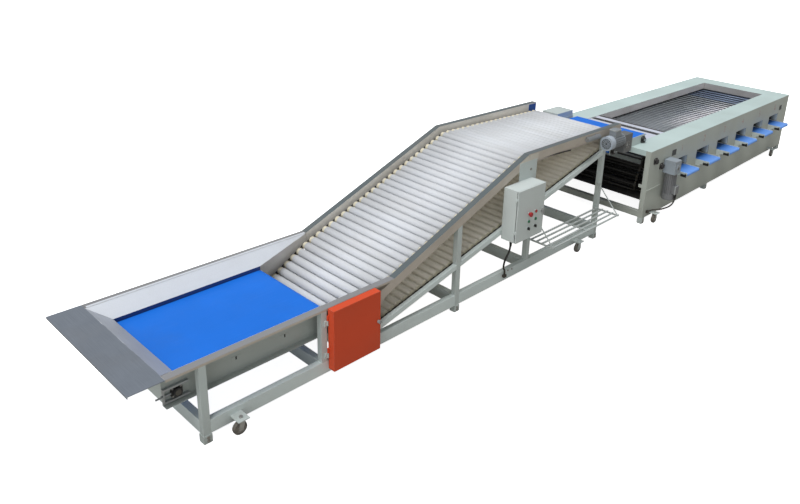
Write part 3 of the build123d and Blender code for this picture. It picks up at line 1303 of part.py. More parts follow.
def inner_walls():
    """Walls round the grading opening, with the feed tray and the feed bar."""
    z = (WALL_BOTTOM, GRADER_TOP - PANEL)
    x = wider(OPENING_X, SHEET)
    across = (-OPENING_HALF, OPENING_HALF)
    walls = pair(block(x, (OPENING_HALF, OPENING_HALF + SHEET), z))
    for low in (x[0], OPENING_X[1]):
        walls.append(block((low, low + SHEET), across, z))
    top = GRADER_TOP - TRAY_DROP
    for run, length in ((TRAY_GAP, TRAY_LENGTH), (FEED_BAR_RUN, FEED_BAR_W)):
        start = OPENING_X[0] + run
        walls.append(block((start, start + length), across, (top - SHEET, top)))
    return walls


def rod_spots():
    """Rod positions: a growing pitch on the top run, an even pitch on the way back."""
    start = DRIVE_SHAFT_X + ROD_START_RUN
    span = END_SHAFT_X - ROD_END_BACK - start
    mean = (ROD_PITCH_END - ROD_PITCH_START) / math.log(ROD_PITCH_END / ROD_PITCH_START)
    count = round(span / mean)
    ratio = (ROD_PITCH_END / ROD_PITCH_START) ** (1 / (count - 1))
    pitches = [ROD_PITCH_START * ratio ** k for k in range(count)]
    scale = span / sum(pitches)
    spots = [(start, ROD_Z)]
    for pitch in pitches:
        spots.append((spots[-1][0] + pitch * scale, ROD_Z))
    least = ROD_PITCH_RETURN * ROD_LEAST_SHARE
    for x, z in spaced(rod_circles(), ROD_PITCH_RETURN):
        nearest = min(math.hypot(x - a, z - b) for a, b in spots)
        if nearest > least and z < ROD_Z - ROD_R:
            spots.append((x, z))
    return spots


def grading_rods():
    """Grading rods between the two rod chains."""
    ends = (-ROD_HALF, ROD_HALF)
    return [outline_xz(ring_points(x, z, ROD_R, ROD_SIDES), ends) for x, z in rod_spots()]


def rod_shaft(x, near):
    """Grader shaft with the two rod-chain wheels, from a near end to the far panel."""
    shaft = round_y(x, (near, PANEL_IN), ROD_SHAFT_Z, GRADER_SHAFT_R)
    for wheel in pair(drive_wheel(x, ROD_SHAFT_Z, ROD_WHEEL_R, ROD_TEETH, ROD_WHEEL_Y)):
        shaft = shaft + wheel
    return [shaft]


def worm_gearboxes():
    """Worm gearboxes of the elevator and of the grader, with their caps and flanges."""
    mid = -HALF_WIDTH - GEAR_Y
    y = wider((mid, mid), GEAR_HALF)
    cap_y = (y[0] - GEAR_CAP, y[0] + CLEAR)
    flange_y = (y[1] - CLEAR, y[1] + GEAR_FLANGE)
    first = block(GEAR_X, y, GEAR_Z) + round_y(HEAD_X, cap_y, HEAD_Z, GEAR_CAP_R)
    first = first + round_y(HEAD_X, flange_y, HEAD_Z, GEAR_FLANGE_R)
    arm_x = (HEAD_X + GEAR_ARM[0], HEAD_X + GEAR_ARM[1])
    first = first + block(arm_x, (y[1] - CLEAR, -HALF_WIDTH), (GEAR_Z[1] - GEAR_ARM_H, GEAR_Z[1]))
    first = first - round_y(HEAD_X, wider((cap_y[0], flange_y[1]), CLEAR), HEAD_Z, STRAND_SHAFT_R + FIT)
    x = wider((DRIVE_SHAFT_X, DRIVE_SHAFT_X), GRADER_GEAR_HALF[0])
    y = wider((GRADER_MOTOR_Y, GRADER_MOTOR_Y), GRADER_GEAR_HALF[1])
    cap_y = (y[0] - GEAR_CAP, y[0] + CLEAR)
    flange_y = (y[1] - CLEAR, -GRADER_HALF)
    second = block(x, y, GRADER_GEAR_Z) + round_y(DRIVE_SHAFT_X, cap_y, ROD_SHAFT_Z, GRADER_CAP_R)
    second = second + round_y(DRIVE_SHAFT_X, flange_y, ROD_SHAFT_Z, GRADER_FLANGE_R)
    bore_y = (cap_y[0] - CLEAR, flange_y[1])
    second = second - round_y(DRIVE_SHAFT_X, bore_y, ROD_SHAFT_Z, GRADER_SHAFT_R + FIT)
    return [first, second]


def finned():
    """Cross-section of a motor housing with cooling fins."""
    points = []
    for k in range(FINS):
        for turn, r in ((0, FIN_ROOT), (0.5, FIN_ROOT), (0.5, MOTOR_R), (1, MOTOR_R)):
            a = 2 * math.pi * (k + turn) / FINS
            points.append((r * math.cos(a), r * math.sin(a)))
    return make_face(Polyline(*points, close=True))


def finned_motor(length):
    """Motor along +Z with its fan cover at the origin and its neck at the far end."""
    fins = extrude(Pos(0, 0, FAN_COVER - FAN_COVER_LAP) * finned(), amount=length - FAN_COVER - MOTOR_NECK)
    motor = fins + round_z(0, 0, (0, FAN_COVER), MOTOR_R + FAN_COVER_EXTRA)
    neck_z = (length - MOTOR_NECK - FAN_COVER_LAP, length)
    return motor + round_z(0, 0, neck_z, MOTOR_R - NECK_IN)


def drive_motors():
    """Finned motors with fan covers and terminal boxes."""
    y = -HALF_WIDTH - GEAR_Y
    z = HEAD_Z + WORM_OFFSET
    first = Plane((MOTOR_END_X, y, z), x_dir=(0, 1, 0), z_dir=(1, 0, 0)) * finned_motor(MOTOR_LENGTH)
    box_x = (MOTOR_END_X + TERMINAL_START, MOTOR_END_X + TERMINAL_START + TERMINAL_LENGTH)
    first = first + block(box_x, wider((y, y), TERMINAL_HALF), (z + TERMINAL_IN, z + TERMINAL_OUT))
    y = GRADER_MOTOR_Y
    second = Pos(DRIVE_SHAFT_X, y, GRADER_MOTOR_Z) * finned_motor(GRADER_MOTOR_LENGTH)
    box_x = wider((DRIVE_SHAFT_X, DRIVE_SHAFT_X), TERMINAL_HALF)
    box_z = (MOTOR_BOX_Z, MOTOR_BOX_Z + GRADER_TERMINAL_LENGTH)
    second = second + block(box_x, (y - GRADER_TERMINAL_OUT, y - TERMINAL_IN), box_z)
    return [first, second]


def outlet_frames():
    """Side plates, cross slats and wall feet of the six outlets."""
    frames = []
    slat_z = (OUTLET_AXIS_Z - SLAT_UNDER, OUTLET_AXIS_Z + OUTLET_ROLLER_R - CLEAR)
    foot_y = (-GRADER_HALF - FOOT_DEPTH, -GRADER_HALF)
    foot_z = (OUTLET_PLATE_Z[0] - FOOT_H, OUTLET_PLATE_Z[0])
    for x in OUTLET_XS:
        for low in (x, x + OUTLET_W - OUTLET_PLATE):
            span = (low, low + OUTLET_PLATE)
            plate = block(span, (OUTLET_FRONT, OUTLET_BACK), OUTLET_PLATE_Z)
            plate = plate - round_x(span, NOSE_Y, OUTLET_AXIS_Z, OUTLET_STUB_R + FIT)
            frames.append(plate - round_x(span, OUTLET_TAIL_Y, OUTLET_AXIS_Z, OUTLET_SHAFT_R + FIT))
        inner = wider((x, x + OUTLET_W), -OUTLET_PLATE)
        for y in (NOSE_Y + SLAT_FRONT, 0.0, OUTLET_TAIL_Y - SLAT_BACK):
            frames.append(block(inner, wider((y, y), SLAT_HALF), slat_z))
        for low in (x, x + OUTLET_W - FOOT_W):
            frames.append(block((low, low + FOOT_W), foot_y, foot_z))
    return frames


def outlet_belts():
    """Six outlet belts running across the grader."""
    circles = [(y, OUTLET_AXIS_Z, OUTLET_ROLLER_R) for y in (NOSE_Y, OUTLET_TAIL_Y)]
    ring = hull(circles, PLAY + OUTLET_BELT) - hull(circles, PLAY)
    side = OUTLET_PLATE + GAP
    return [extrude(Plane.YZ.offset(x + side) * ring, amount=OUTLET_W - 2 * side) for x in OUTLET_XS]


def outlet_roller_run(x):
    """Span of an outlet's roller between its side plates."""
    return wider((x, x + OUTLET_W), -OUTLET_PLATE - CLEAR)


def outlet_front_rollers():
    """Nose rollers of the six outlet belts."""
    rollers = []
    for x in OUTLET_XS:
        roller = round_x(outlet_roller_run(x), NOSE_Y, OUTLET_AXIS_Z, OUTLET_ROLLER_R)
        rollers.append(roller + round_x((x, x + OUTLET_W), NOSE_Y, OUTLET_AXIS_Z, OUTLET_STUB_R))
    return rollers


def outlet_drive_shaft():
    """Common shaft that drives the six outlet belts at the far side."""
    ends = wider((OUTLET_XS[0], OUTLET_XS[-1] + OUTLET_W), OUTLET_SHAFT_OVER)
    shaft = round_x(ends, OUTLET_TAIL_Y, OUTLET_AXIS_Z, OUTLET_SHAFT_R)
    for x in OUTLET_XS:
        shaft = shaft + round_x(outlet_roller_run(x), OUTLET_TAIL_Y, OUTLET_AXIS_Z, OUTLET_ROLLER_R)
    return [shaft]


NODES = {
    "hopper_plates": hopper_plates(),
    "belt_channels": belt_channels(),
    "hopper_belt": hopper_belt(),
    "hopper_tail_drum": hopper_tail_drum(),
    "hopper_head_drum": hopper_head_drum(),
    "takeups": takeups(),
    "side_rails": side_rails(),
    "drive_chains": drive_chains(),
    "elevator_rollers": elevator_rollers(),
    "head_shaft": head_shaft(),
    "tail_shaft": tail_shaft(),
    "flange_bearings": flange_bearings(),
    "guard_door": guard_door(),
    "guard_latch": guard_latch(),
    "legs": legs(),
    "frame_beams": frame_beams(),
    "levelling_feet": levelling_feet(),
    "tool_shelf": tool_shelf(),
    "caster_plates": caster_plates(),
    "control_box": control_box(),
    "box_door": box_door(),
    "door_handle": door_handle(),
    "estop_button": estop_button(BUTTON_XS[0], BUTTON_ZS[0]),
    "stop_button": button(BUTTON_XS[1], BUTTON_ZS[0]),
    "start_button_left": button(BUTTON_XS[0], BUTTON_ZS[1]),
    "start_button_right": button(BUTTON_XS[1], BUTTON_ZS[1]),
    "selector_left": selector(BUTTON_XS[0], BUTTON_ZS[2]),
    "selector_right": selector(BUTTON_XS[1], BUTTON_ZS[2]),
    "box_bracket": box_bracket(),
    "power_cables": power_cables(),
    "cable_fittings": cable_fittings(),
    "feed_belt": feed_belt(),
    "feed_frame": feed_frame(),
    "feed_tail_drum": feed_drum(FEED_TAIL_X),
    "feed_head_drum": feed_drum(FEED_HEAD_X),
    "grader_frame": grader_frame(),
    "grader_panels": grader_panels(),
    "top_cover": top_cover(),
    "inner_walls": inner_walls(),
    "grading_rods": grading_rods(),
    "grader_drive_shaft": rod_shaft(DRIVE_SHAFT_X, GRADER_MOTOR_Y - GRADER_GEAR_HALF[1] - GEAR_SHAFT_END),
    "grader_tail_shaft": rod_shaft(END_SHAFT_X, -PANEL_IN),
    "worm_gearboxes": worm_gearboxes(),
    "drive_motors": drive_motors(),
    "outlet_frames": outlet_frames(),
    "outlet_belts": outlet_belts(),
    "outlet_front_rollers": outlet_front_rollers(),
    "outlet_drive_shaft": outlet_drive_shaft(),
}
for caster_name, caster_x, caster_y, face, swivels in CASTERS:
    if swivels:
        NODES[f"fork_{caster_name}"] = [caster_fork(caster_x, caster_y)]
    NODES[f"wheel_{caster_name}"] = [caster_wheel(caster_x, caster_y)]

# The origin lies on the floor below the middle of the machine's outline, cables aside.
SOLIDS = {}
for name, shapes in NODES.items():
    SOLIDS[name] = [solid for shape in shapes for solid in shape.solids()]
RIGID = [solid for name, solids in SOLIDS.items() if name != "power_cables" for solid in solids]
OUTLINE = Compound(RIGID).bounding_box()
CENTRE = OUTLINE.center()
ORIGIN = (CENTRE.X, CENTRE.Y, OUTLINE.min.Z)

os.makedirs("parts", exist_ok=True)
for name, solids in SOLIDS.items():
    placed = [solid.moved(Location((-ORIGIN[0], -ORIGIN[1], -ORIGIN[2]))) for solid in solids]
    export_step(Compound(placed), f"parts/{name}.step")
print(len(SOLIDS), "nodes", sum(len(solids) for solids in SOLIDS.values()), "solids")
print("outline", OUTLINE.size, "origin", ORIGIN)
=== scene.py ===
# %% [markdown]
# Potato grading line, dressed around its CAD frame.
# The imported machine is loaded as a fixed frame. Each piece made below sits in that frame, in metres, with
# +X along the crop's way and the operator at -Y.

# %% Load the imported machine
import json
import math

import bmesh
import bpy
from mathutils import Matrix, Vector


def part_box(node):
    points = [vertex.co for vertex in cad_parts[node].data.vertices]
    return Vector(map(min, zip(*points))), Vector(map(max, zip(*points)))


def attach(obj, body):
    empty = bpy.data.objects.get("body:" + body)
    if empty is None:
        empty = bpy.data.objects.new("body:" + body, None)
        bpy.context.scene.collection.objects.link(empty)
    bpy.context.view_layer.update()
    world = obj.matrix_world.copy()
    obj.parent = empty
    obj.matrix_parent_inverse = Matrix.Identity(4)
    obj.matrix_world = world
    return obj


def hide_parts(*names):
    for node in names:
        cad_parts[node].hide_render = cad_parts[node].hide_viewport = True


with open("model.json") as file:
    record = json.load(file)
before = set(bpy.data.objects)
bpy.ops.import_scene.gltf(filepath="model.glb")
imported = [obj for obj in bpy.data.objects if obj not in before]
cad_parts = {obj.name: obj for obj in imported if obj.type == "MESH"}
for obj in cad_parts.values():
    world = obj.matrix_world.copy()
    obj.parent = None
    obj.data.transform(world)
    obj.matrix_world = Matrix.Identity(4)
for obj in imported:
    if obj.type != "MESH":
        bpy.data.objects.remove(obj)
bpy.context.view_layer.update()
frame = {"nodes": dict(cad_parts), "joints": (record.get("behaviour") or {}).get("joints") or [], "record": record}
nodes = frame["nodes"]
joint_spot = {joint["name"]: Vector(joint["pos_m"]) for joint in frame["joints"]}

# %% [markdown]
# The camera stands low at the hopper's end and looks along the line. A wide lens close to the hopper makes
# the near end large and the grader small, so lens, height and roll all come from the machine's straight
# edges. The turn is built from three angles, because that keeps each of them easy to read.

# %% Camera
CAMERA_SPOT = Vector((-6.5041, -4.22925, 3.3272))
CAMERA_AZIMUTH = math.radians(-49.733)
CAMERA_LIFT = math.radians(19.864)
CAMERA_ROLL = math.radians(3.279)
CAMERA_LENS = 32.414
CAMERA_SENSOR = 36.0
CAMERA_SHIFT = (-0.0934, -0.1002)


def camera_matrix():
    """Place and turn of the camera from azimuth, lift and roll."""
    flat = math.cos(CAMERA_LIFT)
    back = Vector((math.sin(CAMERA_AZIMUTH) * flat, -math.cos(CAMERA_AZIMUTH) * flat, math.sin(CAMERA_LIFT)))
    level = Vector((0, 0, 1)).cross(back).normalized()
    upright = back.cross(level)
    right = math.cos(CAMERA_ROLL) * level + math.sin(CAMERA_ROLL) * upright
    up = math.cos(CAMERA_ROLL) * upright - math.sin(CAMERA_ROLL) * level
    rows = [(right[k], up[k], back[k], CAMERA_SPOT[k]) for k in range(3)]
    return Matrix(rows + [(0, 0, 0, 1)])


def placed(name, data):
    """A new object in the scene."""
    obj = bpy.data.objects.new(name, data)
    bpy.context.scene.collection.objects.link(obj)
    return obj


lens = bpy.data.cameras.new("camera")
lens.lens = CAMERA_LENS
lens.sensor_width = CAMERA_SENSOR
lens.sensor_fit = "HORIZONTAL"
lens.shift_x, lens.shift_y = CAMERA_SHIFT
camera = placed("camera", lens)
camera.matrix_world = camera_matrix()
bpy.context.scene.camera = camera
print("camera", lens.lens, "mm lens")

# %% [markdown]
# Two black cables show: one from the control box to the base beam, one from the grader's motor to its
# front post. A cable is one smooth line, so each is a NURBS curve whose control points are the route's
# points, with a round bevel for its jacket. Both ends go into fittings. The routes are in the drawing's
# measures, which start at the hopper's end, so the drawing's origin is taken off.

# %% Cables
CAD_ORIGIN = Vector((5.144, -0.03815, 0.0))
CENTRE_Y = -CAD_ORIGIN.y
CABLE_RADIUS = 0.009
CABLE_ROUTES = {
    "box_cable": [
        (3.440, -0.681, 0.509), (3.440, -0.681, 0.420), (3.385, -0.669, 0.340),
        (3.405, -0.641, 0.225), (3.470, -0.613, 0.194), (3.470, -0.613, 0.134),
    ],
    "motor_cable": [
        (6.235, -0.947, 0.301), (6.235, -0.947, 0.229), (6.150, -0.941, 0.189), (6.065, -0.909, 0.175),
        (5.995, -0.857, 0.159), (5.980, -0.785, 0.140), (5.920, -0.785, 0.140),
    ],
}


def evaluated_mesh(obj):
    """A plain mesh of what an object shows."""
    bpy.context.view_layer.update()
    return bpy.data.meshes.new_from_object(obj.evaluated_get(bpy.context.evaluated_depsgraph_get()))


def cable_curve(name, spots):
    """One cable as a NURBS curve; its points' radius sets the jacket, so its box fits it too."""
    curve = bpy.data.curves.new(name, "CURVE")
    curve.dimensions = "3D"
    curve.bevel_depth = 1.0
    curve.bevel_resolution = 4
    curve.resolution_u = 16
    curve.use_fill_caps = True
    spline = curve.splines.new("NURBS")
    spline.points.add(len(spots) - 1)
    for point, spot in zip(spline.points, spots):
        point.co = (*spot, 1)
        point.radius = CABLE_RADIUS
    spline.order_u = 3
    spline.use_endpoint_u = True
    return placed(name, curve)


def spline_length(obj):
    """Length of a cable's own line, with its bevel left out."""
    bare = obj.data.copy()
    bare.bevel_depth = 0
    probe = placed("cable_probe", bare)
    spots = [vert.co.copy() for vert in evaluated_mesh(probe).vertices]
    bpy.data.objects.remove(probe)
    return sum((b - a).length for a, b in zip(spots, spots[1:]))


cables = []
cable_exits = []
for name, route in CABLE_ROUTES.items():
    spots = [Vector(spot) - CAD_ORIGIN for spot in route]
    cable = cable_curve(name, spots)
    length = spline_length(cable)
    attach(cable, "machine")
    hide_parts("power_cables")
    leaves = spots[0]
    cables.append(cable)
    cable_exits.append(leaves)
    print(name, round(length, 3), "m")

# %% [markdown]
# Every finish below is built from nodes. One helper adds a node, sets its values and wires its inputs, so
# that a material reads as a short list of steps; it serves shader trees and geometry trees alike. A few
# more name the steps that come back: a sum, a blend, a stretched range, a noise, a place and a direction.
# A Mix node holds sockets for numbers, vectors and colours side by side, so the blend picks the colour ones
# by their position in the list.

# %% Node helpers
MIX_SHARE, MIX_A, MIX_B = 0, 6, 7
MIX_COLOUR = 2


def add(tree, kind, inputs=None, **settings):
    """Adds a node to a tree; an input takes a plain value or the socket that feeds it."""
    made = tree.nodes.new(kind)
    for label, value in settings.items():
        setattr(made, label, value)
    for label, value in (inputs or {}).items():
        socket = made.inputs[label]
        if isinstance(value, bpy.types.NodeSocket):
            tree.links.new(value, socket)
        else:
            socket.default_value = (*value, 1.0) if socket.type == "RGBA" else value
    return made


def feed(tree, node, **sockets):
    """Wires sockets into a node's inputs; an underscore stands for a space in an input's name."""
    for label, socket in sockets.items():
        tree.links.new(socket, node.inputs[label.replace("_", " ")])


def maths(tree, operation, a, b=0.0, clamp=False):
    """A Math node's output."""
    return add(tree, "ShaderNodeMath", {0: a, 1: b}, operation=operation, use_clamp=clamp).outputs[0]


def times(tree, a, b):
    """Product of two values."""
    return maths(tree, "MULTIPLY", a, b)


def blend_colour(tree, share, a, b):
    """Colour a turned into colour b by a share from 0 to 1."""
    inputs = {MIX_SHARE: share, MIX_A: a, MIX_B: b}
    return add(tree, "ShaderNodeMix", inputs, data_type="RGBA").outputs[MIX_COLOUR]


def spread(tree, value, low, high, to_low=0.0, to_high=1.0):
    """A value's range from low to high, stretched to another range and clamped."""
    names = {"Value": value, "From Min": low, "From Max": high, "To Min": to_low, "To Max": to_high}
    return add(tree, "ShaderNodeMapRange", names).outputs["Result"]


def noise(tree, place, scale, detail):
    """Value of a noise at a place."""
    return add(tree, "ShaderNodeTexNoise", {"Vector": place, "Scale": scale, "Detail": detail}).outputs["Fac"]


def own_place(tree):
    """Place on the piece; pieces lie at the origin, so it is the place in the machine too."""
    return add(tree, "ShaderNodeTexCoord").outputs["Object"]


def split(tree, vector_socket):
    """The X, Y and Z parts of a vector."""
    return add(tree, "ShaderNodeSeparateXYZ", {"Vector": vector_socket}).outputs


def own_spot(tree):
    """The X, Y and Z of a place in the machine."""
    return split(tree, own_place(tree))


def face_way(tree):
    """The X, Y and Z of the direction that a face looks in."""
    return split(tree, add(tree, "ShaderNodeNewGeometry").outputs["True Normal"])


def started(name, roughness, metallic=0.0, specular=0.5):
    """A new material with its shader's constant values set."""
    made = bpy.data.materials.new(name)
    made.use_nodes = True
    shader = made.node_tree.nodes["Principled BSDF"]
    shader.inputs["Roughness"].default_value = roughness
    shader.inputs["Metallic"].default_value = metallic
    shader.inputs["Specular IOR Level"].default_value = specular
    return made, made.node_tree, shader


print("node helpers ready")

# %% [markdown]
# The machine stands on a plain pale floor. Its tops are about twice as bright as its near sides, and the
# hopper's end lies between. So most of the light comes from above and from the hopper's end: one wide sun
# with soft shadows. A weak wide lamp near the floor reaches under the elevator, and a dim even sky fills
# the rest. The floor is lit from below like a light table, which keeps it pale under the machine. That glow
# and its paleness count only where the floor itself is seen: for bounced light it is darker and warmer,
# like a workshop's concrete, or the near sides would be too bright.

# %% Floor and light
FLOOR_HALF = 90.0
FLOOR_GLOW = 0.92
FLOOR_SEEN = (0.92, 0.92, 0.915)
FLOOR_BOUNCE = (0.38, 0.365, 0.33)
SKY_STRENGTH = 0.33
SKY_COLOUR = (0.93, 0.97, 1.0, 1)
LAMPS = {
    "sky_light": (2.42, Vector((-0.30, 0.0, 1.0)), math.radians(35)),
    "low_fill": (0.95, Vector((-0.92, -0.34, 0.14)), math.radians(60)),
}

bpy.context.scene.view_settings.view_transform = "Standard"
floor_mesh = bpy.data.meshes.new("floor")
corners = [(x * FLOOR_HALF, y * FLOOR_HALF, 0) for x, y in ((-1, -1), (1, -1), (1, 1), (-1, 1))]
floor_mesh.from_pydata(corners, [], [(0, 1, 2, 3)])
floor = placed("floor", floor_mesh)
floor_paint, tree, shader = started("pale_floor", 0.9, specular=0.1)
shader.inputs["Emission Color"].default_value = (1, 1, 1, 1)
seen = add(tree, "ShaderNodeLightPath").outputs["Is Camera Ray"]
feed(tree, shader, Base_Color=blend_colour(tree, seen, FLOOR_BOUNCE, FLOOR_SEEN),
     Emission_Strength=times(tree, seen, FLOOR_GLOW))
floor.data.materials.append(floor_paint)
for name, (strength, comes_from, width) in LAMPS.items():
    lamp = bpy.data.lights.new(name, "SUN")
    lamp.energy = strength
    lamp.angle = width
    placed(name, lamp).rotation_euler = comes_from.to_track_quat("Z", "Y").to_euler()
world = bpy.data.worlds.new("studio")
world.use_nodes = True
world.node_tree.nodes["Background"].inputs["Color"].default_value = SKY_COLOUR
world.node_tree.nodes["Background"].inputs["Strength"].default_value = SKY_STRENGTH
bpy.context.scene.world = world
print("floor,", len(LAMPS), "soft lamps and an even sky")

# %% [markdown]
# Farm machines are dusty: earth settles in soft patches, thicker near the floor. Two noises of different
# size make the patches, and the height over the floor adds the dust line. The group puts out one mask, so
# each paint decides for itself what colour its dirt has.

# %% Earth and dust
DUST_LINE = 0.28
SPECKLE_SIZE = 46.0


def group(name, inputs, outputs):
    """An empty shader group with named float or vector sockets."""
    tree = bpy.data.node_groups.new(name, "ShaderNodeTree")
    for label, value in inputs.items():
        kind = "NodeSocketVector" if isinstance(value, tuple) else "NodeSocketFloat"
        tree.interface.new_socket(label, in_out="INPUT", socket_type=kind).default_value = value
    for label in outputs:
        tree.interface.new_socket(label, in_out="OUTPUT", socket_type="NodeSocketFloat")
    return tree, tree.nodes.new("NodeGroupInput").outputs, tree.nodes.new("NodeGroupOutput")


dust_group, given, out = group("earth_dust", {"Patch size": 3.0, "Patches": 0.35, "Low dust": 0.5}, ["Mask"])
place = own_place(dust_group)
wide = noise(dust_group, place, given["Patch size"], 5.0)
fine = noise(dust_group, place, SPECKLE_SIZE, 3.0)
patches = times(dust_group, spread(dust_group, wide, 0.45, 0.75), given["Patches"])
low = times(dust_group, spread(dust_group, split(dust_group, place)["Z"], DUST_LINE, 0.0), given["Low dust"])
both = maths(dust_group, "ADD", patches, low)
speckled = times(dust_group, both, spread(dust_group, fine, 0.3, 0.65, 0.35, 1.0))
feed(dust_group, out, Mask=maths(dust_group, "MINIMUM", speckled, 1.0))
print("group", dust_group.name)

# %% [markdown]
# Sheet steel is drawn and brushed in one direction, which leaves fine streaks. A noise squeezed across the
# streaks and stretched along them gives that grain. Its value drives both the shade and a shallow bump.

# %% Brushed grain
STREAK_SHARE = 0.6
grain_group, given, out = group("brushed_grain", {"Stretch": (3.0, 260.0, 260.0)}, ["Shade", "Height"])
place = own_place(grain_group)
squeezed = add(grain_group, "ShaderNodeVectorMath", {0: place, 1: given["Stretch"]}, operation="MULTIPLY")
streaks = noise(grain_group, squeezed.outputs[0], 1.0, 4.0)
clouds = noise(grain_group, place, 5.0, 3.0)
mixed = maths(grain_group, "ADD", times(grain_group, streaks, STREAK_SHARE),
              times(grain_group, clouds, 1 - STREAK_SHARE))
feed(grain_group, out, Shade=spread(grain_group, mixed, 0.3, 0.7), Height=streaks)
print("group", grain_group.name)

# %% [markdown]
# Paint wears first on edges. A Bevel node rounds the normal near an edge, so its angle to the true normal
# shows how close the edge is. A noise breaks the line into chips.

# %% Edge wear
CHIP_SIZE = 34.0
wear_group, given, out = group("edge_wear", {"Width": 0.004, "Amount": 0.6}, ["Mask"])
true_normal = add(wear_group, "ShaderNodeNewGeometry").outputs["True Normal"]
soft_normal = add(wear_group, "ShaderNodeBevel", {"Radius": given["Width"]}, samples=4).outputs["Normal"]
turned = add(wear_group, "ShaderNodeVectorMath", {0: true_normal, 1: soft_normal}, operation="DOT_PRODUCT")
near_edge = spread(wear_group, turned.outputs["Value"], 0.995, 0.86)
chips = noise(wear_group, own_place(wear_group), CHIP_SIZE, 5.0)
chipped = times(wear_group, near_edge, spread(wear_group, chips, 0.46, 0.62))
feed(wear_group, out, Mask=maths(wear_group, "MULTIPLY", chipped, given["Amount"], clamp=True))
print("group", wear_group.name)

# %% [markdown]
# Sprayed paint isn't flat: it has a fine orange-peel skin and drifts a little in tone over a panel. This
# group gives both, and plastics and belts use it too with a finer or coarser skin.

# %% Paint skin
skin_group, given, out = group("paint_skin", {"Skin size": 420.0, "Drift size": 1.3}, ["Tone", "Height"])
place = own_place(skin_group)
drift = noise(skin_group, place, given["Drift size"], 3.0)
peel = noise(skin_group, place, given["Skin size"], 2.0)
feed(skin_group, out, Tone=spread(skin_group, drift, 0.3, 0.7), Height=peel)
print("group", skin_group.name)

# %% [markdown]
# Most finishes are one paint over one metal, with dust on top and bare edges. One function puts these
# layers together from a few plain values; finishes with zones of their own come after it. The last steps,
# dust, painted shade and relief, are the same for every finish, so they have a function of their own.

# %% Painted and moulded finishes
EARTH = (0.20, 0.165, 0.12)
INSIDE_SHADE = (0.030, 0.028, 0.025)
BARE_EDGE = (0.36, 0.35, 0.33)
PAINT_RELIEF = 0.0006


def placed_group(tree, group_tree, **values):
    """A shader group in a material with its own values."""
    made = add(tree, "ShaderNodeGroup", node_tree=group_tree)
    for label, value in values.items():
        made.inputs[label.replace("_", " ")].default_value = value
    return made.outputs


def dust_mask(tree, patches, low_dust=0.0):
    """Share of dust on a finish."""
    return placed_group(tree, dust_group, Patches=patches, Low_dust=low_dust)["Mask"]


def varied(tree, tone, colour, swing):
    """A colour that drifts lighter and darker by a share of itself."""
    dark = tuple(part * (1 - swing) for part in colour)
    light = tuple(min(part * (1 + swing), 1.0) for part in colour)
    return blend_colour(tree, tone, dark, light)


def finished(tree, shader, tone, dust, height, bump=0.08, relief=0.0004, earth=EARTH, painted_shade=None, **more):
    """Lays dust and perhaps painted shade on a tone, and feeds tone, relief and more into the shader."""
    tone = blend_colour(tree, dust, tone, earth)
    # Painted shade: the zone's share turns the tone towards near black.
    if painted_shade:
        tone = blend_colour(tree, painted_shade(tree), tone, INSIDE_SHADE)
    bumps = add(tree, "ShaderNodeBump", {"Height": height, "Strength": bump, "Distance": relief})
    feed(tree, shader, Base_Color=tone, Normal=bumps.outputs["Normal"], **more)


def painted(name, colour, roughness=0.45, swing=0.06, patches=0.25, low_dust=0.5, wear=0.5, skin=420.0,
            bump=0.08, specular=0.5, painted_shade=None, zones=None):
    """Paint with orange-peel skin, tone drift, dust patches, chipped edges and perhaps a zone of painted shade."""
    made, tree, shader = started(name, roughness, specular=specular)
    coat = placed_group(tree, skin_group, Skin_size=skin)
    dust = dust_mask(tree, patches, low_dust)
    top = varied(tree, coat["Tone"], colour, swing)
    if zones:
        top = zones(tree, top)
    if wear:
        top = blend_colour(tree, placed_group(tree, wear_group, Amount=wear)["Mask"], top, BARE_EDGE)
    rough = spread(tree, dust, 0.0, 1.0, roughness, min(roughness + 0.35, 0.95))
    finished(tree, shader, top, dust, coat["Height"], bump, PAINT_RELIEF, painted_shade=painted_shade, Roughness=rough)
    return made


GEAR_GREY = {"colour": (0.30, 0.35, 0.40), "roughness": 0.42, "swing": 0.08, "patches": 0.3, "low_dust": 0.2}
MOULDED = {"wear": 0, "skin": 900.0}
PAINTS = {
    "grey_green_paint": {"colour": (0.54, 0.60, 0.585), "roughness": 0.42, "patches": 0.12, "low_dust": 0.12},
    "orange_paint": {"colour": (0.66, 0.078, 0.027), "roughness": 0.5, "patches": 0.06, "low_dust": 0.1,
                     "specular": 0.2},
    "black_casting": {"colour": (0.018, 0.018, 0.020), "roughness": 0.5, "wear": 0.35, "skin": 700.0,
                      "bump": 0.2},
    "black_plastic": {"colour": (0.012, 0.012, 0.013), "roughness": 0.42, "patches": 0.1, **MOULDED},
    "cabinet_paint": {"colour": (0.60, 0.655, 0.645), "roughness": 0.5, "swing": 0.04, "patches": 0.1,
                      "low_dust": 0.0, "wear": 0.25, "skin": 520.0, "bump": 0.2},
    "red_plastic": {"colour": (0.42, 0.018, 0.022), "roughness": 0.28, "patches": 0.08, **MOULDED},
    "green_plastic": {"colour": (0.016, 0.15, 0.07), "roughness": 0.28, "patches": 0.08, **MOULDED},
    "cable_black": {"colour": (0.010, 0.010, 0.010), "roughness": 0.55, "patches": 0.2, "wear": 0,
                    "skin": 1400.0},
    "gearmotor_paint": GEAR_GREY,
    "wheel_rubber": {"colour": (0.10, 0.098, 0.092), "roughness": 0.7, "swing": 0.2, "patches": 0.3,
                     "low_dust": 0.3, "wear": 0, "skin": 260.0, "bump": 0.3},
}
finishes = {name: painted(name, **values) for name, values in PAINTS.items()}
print("finishes", sorted(finishes))

# %% [markdown]
# Bare metals keep their metal shine: rods, shafts and drums are turned steel, chains are dark and oily,
# forks are zinc plated. The brushed grain changes their roughness and tone instead of a coat of paint.

# %% Bare metals
ALONG_X = (4.0, 300.0, 300.0)
ALONG_Y = (300.0, 4.0, 300.0)


